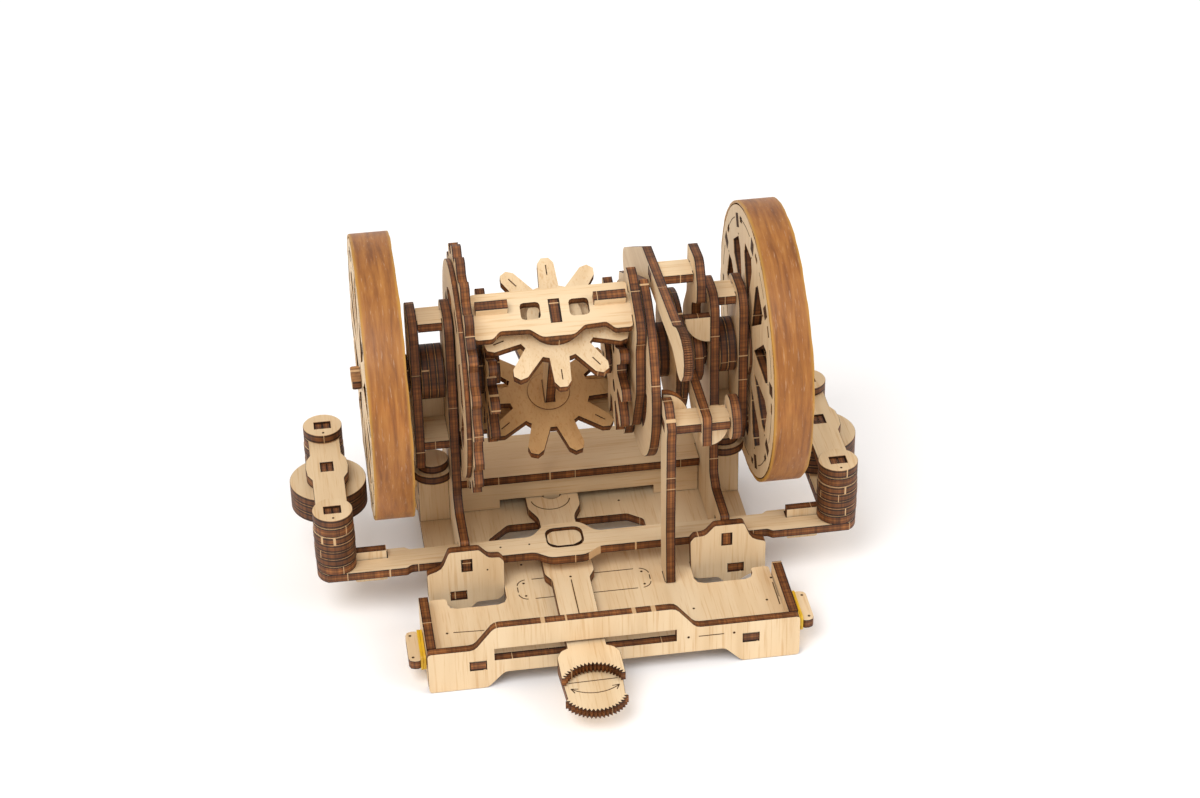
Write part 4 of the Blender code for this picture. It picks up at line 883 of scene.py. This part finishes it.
axle("left", -71.2, -24.4, -68.1, LEFT_RUNS, 80)
axle("right", 9.2, 71.0, 68.1, RIGHT_RUNS, 81)

# %% [markdown]
# ## Flange of the gear cage
# The plate outside the cage is round below and cut off flat above, so that the lock lever's wide head
# shows over it. A round outline with a straight chord gives this in one ply. Its windows lean with the
# cage.

# %% Cut the flange
FLANGE_X = DIFF_X + 26.9


def in_cage(points):
    c, s = math.cos(CAGE_LEAN), math.sin(CAGE_LEAN)
    return [(u * c - v * s, u * s + v * c) for u, v in points]


def kidney_line(inner, outer, middle, half):
    return (round_line(outer, middle - half, middle + half, steps=6)
            + round_line(inner, middle + half, middle - half, steps=6))


windows = [in_cage(kidney_line(14.0, 24.0, turn, 24)) for turn in (0, 180)]
tab_slot = in_cage(box_line(-4.3, -30.4, 4.3, -26.8))
flange = cut_ply(FLANGE_X, PLY, round_line(33.5, 106, 380, steps=62), round_line(4.7, steps=24), tab_slot,
                 *windows)
finish_ply([flange], on_axle() @ SIDEWAYS, "cage_flange_ply", "carrier", X, Y, 82, ("flange_plate",))

# %% [markdown]
# On the leaning cross plates stand short keys, each a ply on its edge, so their tops are scorched and
# their broad sides pale. A round plug fills the lower gear's middle, and the axle's end comes through it.

# %% Cut the keys and the plug
LOWER_GEAR_TOP = -20.46
IN_CAGE = on_axle(DIFF_X) @ Matrix.Rotation(CAGE_LEAN, 4, "X")
for name, low, number in (("upper", 29.9, 95), ("lower", -33.1, 96)):
    keys = [cut_ply(-3.85, 3.3, box_line(start, low, start + 10.1, low + 3.2)) for start in (-24.65, 12.15)]
    finish_ply(keys, IN_CAGE @ UPRIGHT, name + "_cage_keys", "carrier", ACROSS, X, number)
plug = cut_ply(LOWER_GEAR_TOP, 0.4, round_line(6.9), box_line(-1.7, -4.2, 1.7, 4.2))
# The plug takes the lower gear's darker, warmer tint, which is painted shade
plug_wood = plywood("gear_plug_wood", SPIDER, 0.0, None, Y, tone=PAINTED_SHADE_TINTS["lower_spider_gear"], shift=2.1)
dress(joined([plug], IN_CAGE), "gear_plug", "carrier", plug_wood)

# %% [markdown]
# ## Posts and lock fork
# Two pairs of upright plates carry the axles, one pair close to the gear cage and one outside it. Their
# heads end just above the small ties. The lock's fork hangs on the right hub, and its front edge draws
# back so that a gusset of the post behind shows.

# %% Cut the posts and the fork
POST_HEAD = 96.4
HUB = (69.5, 73.4)


def upright_ply(title, body, low, outline, holes, stands_for, number, grain=Z):
    ply = cut_ply(low, PLY, cornered(outline), *holes)
    finish_ply([ply], from_front() @ SIDEWAYS, title, body, X, grain, number, (stands_for,))


hub_hole = round_line(4.7, centre=HUB, steps=24)
head = [(79.2, POST_HEAD, 6.5), (59.8, POST_HEAD, 6.5)]
inner = [(49.6, 10.6), (96.7, 10.6), (96.7, 31.0, 3.0), (84.5, 40.0, 8.0), (79.2, 52.0, 6.0), *head,
         (59.8, 30.5, 3.0), (55.3, 27.0, 3.0), (39.7, 27.0, 1.0), (39.7, 22.5), (36.6, 22.5), (36.6, 18.2),
         (39.7, 20.6), (49.6, 20.6)]
outer = [(63.5, 40.3, 1.5), (75.5, 40.3, 1.5), (79.2, 48.0, 4.0), *head, (59.8, 48.0, 4.0)]
tie_slot = box_line(66.7, 90.7, 72.3, 94.3)
shelf_slot = box_line(85.0, 21.6, 93.0, 25.2)
for name, inner_x, outer_x, number in (("left", -41.8, -52.8, 98), ("right", 42.0, 51.2, 100)):
    upright_ply(name + "_inner_post", "frame", inner_x, inner, [hub_hole, tie_slot, shelf_slot],
                name + "_side_plate", number)
    upright_ply(name + "_far_post", "frame", outer_x, outer, [hub_hole, tie_slot], name + "_outer_post",
                number + 1)

fork = [(59.3, 69.4, 5.0), (65.0, 62.5, 6.0), (75.0, 62.5, 6.0), (81.0, 69.4, 6.0), (82.0, 81.4, 6.0),
        (75.0, 91.4, 4.0), (73.5, 109.6, 1.5), (61.0, 110.8, 4.0), (56.5, 104.0, 3.0), (57.0, 97.0, 3.0),
        (65.9, 92.2, 3.0), (65.9, 83.5, 2.0), (59.6, 77.0, 4.0)]
bar = [(28.0, 62.6, 1.0), (46.5, 62.6, 4.0), (57.2, 69.5, 2.0), (57.2, 73.5, 1.5), (28.0, 73.5, 1.0)]
upright_ply("lock_fork_ply", "lock", 37.0, fork, [hub_hole, box_line(63.6, 101.7, 69.4, 105.3)],
            "lock_fork", 102)
upright_ply("stop_bar_ply", "frame", 33.8, bar, [box_line(30.1, 66.7, 39.9, 70.3)], "stop_bar", 103, grain=Y)

# %% [markdown]
# ## Gussets and foot shelves
# A few small brackets stiffen the posts: quarter-round gussets by the lock's stop, and a shelf with a
# back panel between each side plate and its outer post. They are cut like every other ply.

# %% Cut the gussets and shelves
SHELF_Z = 48.7
SHELF_BACK = 76.2


def gusset(title, corner, reach, rise, depth_y, number):
    u, v = corner
    curve = [(u + reach * math.cos(t), v + rise * math.sin(t))
             for t in (math.radians(90 * i / 10) for i in range(11))]
    ply = cut_ply(-depth_y - PLY, PLY, [corner] + (curve if reach * rise > 0 else curve[::-1]))
    finish_ply([ply], from_front() @ UPRIGHT, title, "frame", Y, Z, number)


gusset("hub_gusset", (42.0, 90.0), -8.2, -9.2, 59.8, 83)
gusset("stop_upper_gusset", (23.4, 67.2), 8.0, 8.8, 39.65, 84)
gusset("stop_lower_gusset", (36.9, 67.0), 6.2, -7.6, 33.5, 85)
for name, low, high, web_low, web_high, number in (("left", -49.8, -41.8, -51.8, -41.8, 86),
                                                   ("right", 45.0, 51.2, 45.0, 55.0, 87)):
    web = cut_ply(-SHELF_BACK - PLY, PLY, box_line(web_low, 10.35, web_high, 31.0))
    shelf = cut_ply(SHELF_Z, PLY, box_line(low, 61.5, high, SHELF_BACK))
    panel = cut_ply(-SHELF_BACK - PLY, PLY, box_line(low, SHELF_Z, high, 58.6))
    finish_ply([shelf], from_front(), name + "_foot_shelf", "frame", Z, X, number)
    finish_ply([panel], from_front() @ UPRIGHT, name + "_foot_panel", "frame", Y, Z, number)
    finish_ply([web], from_front() @ UPRIGHT, name + "_outer_web", "frame", Y, Z, number)

# %% [markdown]
# ## Burnt marks
# The laser also draws. At low power it leaves thin dark lines and dots: fold-like dashes on the tray,
# arcs inside each wheel's rim, a groove on the lever. Each stroke is a narrow strip of faces, and
# Solidify gives all strokes on one surface a hair's thickness at once.

# %% Helpers that burn strokes
def strip_faces(points, width, corners, faces):
    first = len(corners)
    for i, point in enumerate(points):
        here = Vector(point)
        before = Vector(points[max(i - 1, 0)])
        after = Vector(points[min(i + 1, len(points) - 1)])
        along = (after - before).normalized()
        off = Vector((-along.y, along.x)) * width / 2
        corners += [here - off, here + off]
    for i in range(len(points) - 1):
        a = first + 2 * i
        faces.append((a, a + 2, a + 3, a + 1))


def dot_faces(centre, radius, corners, faces):
    first = len(corners)
    corners += [Vector(p) for p in round_line(radius, centre=centre, steps=10)]
    faces.append(tuple(range(first, first + 10)))


def bare_mesh(title, corners, faces):
    mesh = bpy.data.meshes.new(title)
    mesh.from_pydata(corners, [], faces)
    piece = bpy.data.objects.new(title, mesh)
    bpy.context.scene.collection.objects.link(piece)
    only(piece)
    return piece


def burnt_finish(title):
    made, tree, shader, place = new_finish(title)
    soot = noise(tree, place.outputs["Object"], 2500.0, 2.0, 0.6)
    tree.links.new(ramp(tree, soot, [(0.30, (0.018, 0.007, 0.003)), (0.75, (0.110, 0.045, 0.016))]),
                   shader.inputs["Base Color"])
    tree.links.new(maths(tree, "ADD", 0.70, maths(tree, "MULTIPLY", soot, 0.2)), shader.inputs["Roughness"])
    shader.inputs["Specular IOR Level"].default_value = 0.2
    return made


SUNK = 0.02
STROKE_DEPTH = 0.075


def burn(title, body, place, strokes=(), dots=(), width=0.32, dot=0.42):
    corners, faces = [], []
    for points in strokes:
        strip_faces(points, width, corners, faces)
    for centre in dots:
        dot_faces(centre, dot, corners, faces)
    piece = bare_mesh(title, [(c.x * MM, c.y * MM, -SUNK * MM) for c in corners], faces)
    skin = piece.modifiers.new("skin", "SOLIDIFY")
    skin.thickness = STROKE_DEPTH * MM
    skin.offset = 1.0
    bpy.ops.object.modifier_apply(modifier=skin.name)
    piece.data.transform(place)
    return dress(piece, title, body, burnt_finish(title + "_soot"))


print("a stroke stands", round(STROKE_DEPTH - SUNK, 3), "mm proud")

# %% Burn the tray, the crossbar and the brackets
TRAY_TOP = 10.3
BRACKET_Y = 36.4
TURN = 3.2
left, right, front, back = -24.6, 18.0, 28.8, 39.0
dashes = [[(left, 32.8), (left, 35.4)], [(right, 32.8), (right, 35.2)],
          [(-47.2, 15.8), (-37.5, 15.3)], [(56.2, 24.6), (56.2, 13.0)]]
for v in (back, front):
    dashes += [[(left + 5.0, v), (-12.6, v)], [(-1.4, v), (right - 4.6, v)]]
for u, v, start in ((left + TURN, back - TURN, 90), (left + TURN, front + TURN, 180),
                    (right - TURN, front + TURN, 270), (right - TURN, back - TURN, 0)):
    dashes.append(round_line(TURN, start + 8, start + 82, (u, v), 12))
dots = [(-22.4, 37.2), (-22.4, 30.6), (15.8, 37.2), (15.8, 30.6), (-21.9, 47.2), (14.7, 77.2), (29.0, 15.3),
        (52.6, 15.9), (-49.2, 15.7), (56.2, 27.0)]
tab_dots = [(side * 62.4 + 1.6, y) for side in (-1, 1) for y in (5.6, 16.4)]
cap_dots = [(side * ARM_X, y - 4.5) for side in (-1, 1) for y in PILE_Y]
bar_dots = [(-28.6, 44.5), (-19.3, 44.6)]
burn("tray_marks", "frame", from_front(z=TRAY_TOP), dashes, dots)
burn("crossbar_marks", "brake_frame", from_front(z=CROSSBAR_Z + PLY), dots=bar_dots, dot=0.36)
burn("cap_marks", "brake_frame", from_front(z=CAP_Z + PLY), dots=cap_dots, dot=0.4)
burn("bracket_mark", "frame", moved_by(0, FRONT + BRACKET_Y, 0) @ UPRIGHT, dots=[(-33.8, 17.9)], dot=0.3)
burn("front_marks", "frame", from_front() @ UPRIGHT, [[(27.8, 11.3), (35.8, 11.3)]],
     [(24.6, 11.3), (39.0, 11.3)], width=0.28)
burn("side_tab_marks", "frame", from_front(z=TRAY_TOP), dots=tab_dots, dot=0.45)

# %% [markdown]
# The lever has a groove, an arc round its pivot, and a double-headed arrow on its toe that tells which
# way to push. The arrow's arc gives its heads their directions.

# %% Burn the lever
def arrow_head(tip, inward):
    away = math.degrees(math.atan2(inward[1] - tip[1], inward[0] - tip[0]))
    return [[tip, polar(tip, 2.3, away + swing)] for swing in (-28, 28)]


pivot_arc = round_line(6.5, 190, 350, (-0.7, 77.9), 20)
burn("lever_marks", "selector", from_front(DIFF_X, LEVER_Z + PLY), [[(0.0, 32.4), (0.0, 8.0)], pivot_arc],
     [(0.0, 34.0)])
toe_arc = round_line(11.4, 229, 311, (0.2, -9.1), 16)
toe_lines = [toe_arc, *arrow_head(toe_arc[0], toe_arc[2]), *arrow_head(toe_arc[-1], toe_arc[-3]),
             [(-7.6, -14.9), (7.6, -14.6)]]
burn("toe_marks", "selector", from_front(DIFF_X, TOE_Z + PLY), toe_lines, width=0.3)

# %% [markdown]
# Each face of a wheel has ten dark slots in its rim, where the cross plies inside come through, and thin
# arcs from one slot to the next. A slot is a stroke as wide as it is long. The gears have a short tick on
# some of their teeth.

# %% Burn the wheels and the gears
SLOTS = 10
SLOT_TURN = -9
SLOT_WIDTH = 3.9


def wheel_marks(name, face_x, outward):
    turns = [outward * (36 * i + SLOT_TURN) for i in range(SLOTS)]
    arcs = [round_line(40.0, turn + 6, turn + (30 if i % 3 else 19), steps=12)
            for i, turn in enumerate(turns)]
    spoke_dots = [polar((0, 0), 34.6, turn) for turn in turns]
    slots = [[polar((0, 0), radius, turn) for radius in (36.7, 41.3)] for turn in turns]
    place = on_axle(face_x) @ SIDEWAYS
    if outward < 0:
        place = place @ Matrix.Rotation(math.radians(180), 4, "Y")
    face = "out" if outward * face_x > 0 else "in"
    burn(f"{name}_wheel_marks_{face}", name + "_drive", place, arcs, spoke_dots, width=0.26, dot=0.34)
    burn(f"{name}_wheel_slots_{face}", name + "_drive", place, slots, width=SLOT_WIDTH)


for name, face_x, outward in (("left", -68.0, -1), ("left", -55.6, 1),
                              ("right", 55.6, -1), ("right", 68.0, 1)):
    wheel_marks(name, face_x, outward)

for name, face_z, turn, teeth in (("upper", 23.5, 18, (0, 2, 3, 5, 7, 8)), ("lower", -20.5, 0, (3, 6, 9))):
    ticks = [[polar((0, 0), radius, turn + 36 * tooth) for radius in (17.2, 20.8)] for tooth in teeth]
    burn(name + "_spider_marks", name + "_spider", IN_CAGE @ moved_by(0, 0, face_z), ticks, width=0.34)

# %% [markdown]
# The lock lever's grip is scored across its edge, so that a thumb doesn't slip. Each score is a tiny bar
# that follows the grip's outline.

# %% Score the lock lever's grip
GRIP = [(24.6, 110.2), (21.6, 111.9), (18.7, 113.2), (14.5, 114.0), (10.2, 113.9), (6.6, 112.4),
        (5.2, 108.6), (6.2, 104.0)]
GRIP_X = (23.85, 26.75)
SCORE_EVERY = 0.85
SCORE = ((-0.15, -0.05), (0.15, -0.05), (0.15, 0.07), (-0.15, 0.07))


def scored(title, body, outline):
    corners, faces = [], []
    for begin, end in zip(outline, outline[1:]):
        along = Vector(end) - Vector(begin)
        count = max(1, round(along.length / SCORE_EVERY))
        tangent = along.normalized()
        outward = Vector((tangent.y, -tangent.x))
        for i in range(count):
            middle = Vector(begin) + along / count * (i + 0.5)
            first = len(corners)
            for x in GRIP_X:
                for aside, rise in SCORE:
                    p = middle + tangent * aside + outward * rise
                    corners.append((x * MM, (p.x + FRONT) * MM, p.y * MM))
            a, b = [first + k for k in range(4)], [first + 4 + k for k in range(4)]
            faces += [a[::-1], b] + [(a[k], a[(k + 1) % 4], b[(k + 1) % 4], b[k]) for k in range(4)]
    piece = bare_mesh(title, corners, faces)
    bpy.ops.object.mode_set(mode="EDIT")
    bpy.ops.mesh.select_all(action="SELECT")
    bpy.ops.mesh.normals_make_consistent(inside=False)
    bpy.ops.object.mode_set(mode="OBJECT")
    return dress(piece, title, body, burnt_finish(title + "_soot"))


scored("grip_scores", "lock", GRIP)

# %% [markdown]
# ## Floor and light
# The photograph was taken on white with big soft lamps, so shadows are faint. A wide floor and two round
# softboxes give this, a strong one on the left and a weak one on the right, with a bright even sky that
# fills the rest.

# %% Floor, lamps and sky
bpy.ops.object.select_all(action="DESELECT")
bpy.ops.mesh.primitive_plane_add(size=12.0, location=(0.0, 2.0, -0.0002))
floor = bpy.context.object
floor.name = "studio_floor"
floor_finish, tree, shader, place = new_finish("studio_white")
shader.inputs["Base Color"].default_value = (0.97, 0.955, 0.95, 1.0)
shader.inputs["Roughness"].default_value = 0.9
shader.inputs["Specular IOR Level"].default_value = 0.1
floor.data.materials.append(floor_finish)


def softbox(title, position, target, size, watts):
    data = bpy.data.lights.new(title, "AREA")
    data.shape = "DISK"
    data.size = size
    data.energy = watts
    lamp = bpy.data.objects.new(title, data)
    bpy.context.scene.collection.objects.link(lamp)
    lamp.location = position
    lamp.rotation_euler = (Vector(target) - Vector(position)).to_track_quat("-Z", "Y").to_euler()
    return lamp


softbox("key_softbox", (-0.55, -0.75, 1.25), (0.0, 0.0, 0.04), 0.9, 12.4)
softbox("fill_softbox", (0.9, -0.5, 0.8), (0.0, 0.0, 0.04), 0.8, 4.0)
sky = bpy.data.worlds.new("studio_sky")
sky.use_nodes = True
light = sky.node_tree.nodes["Background"]
light.inputs["Color"].default_value = (1.0, 0.985, 0.97, 1.0)
light.inputs["Strength"].default_value = 0.80
bpy.context.scene.world = sky
bpy.context.scene.view_settings.view_transform = "Standard"
print("floor, two softboxes and a sky")
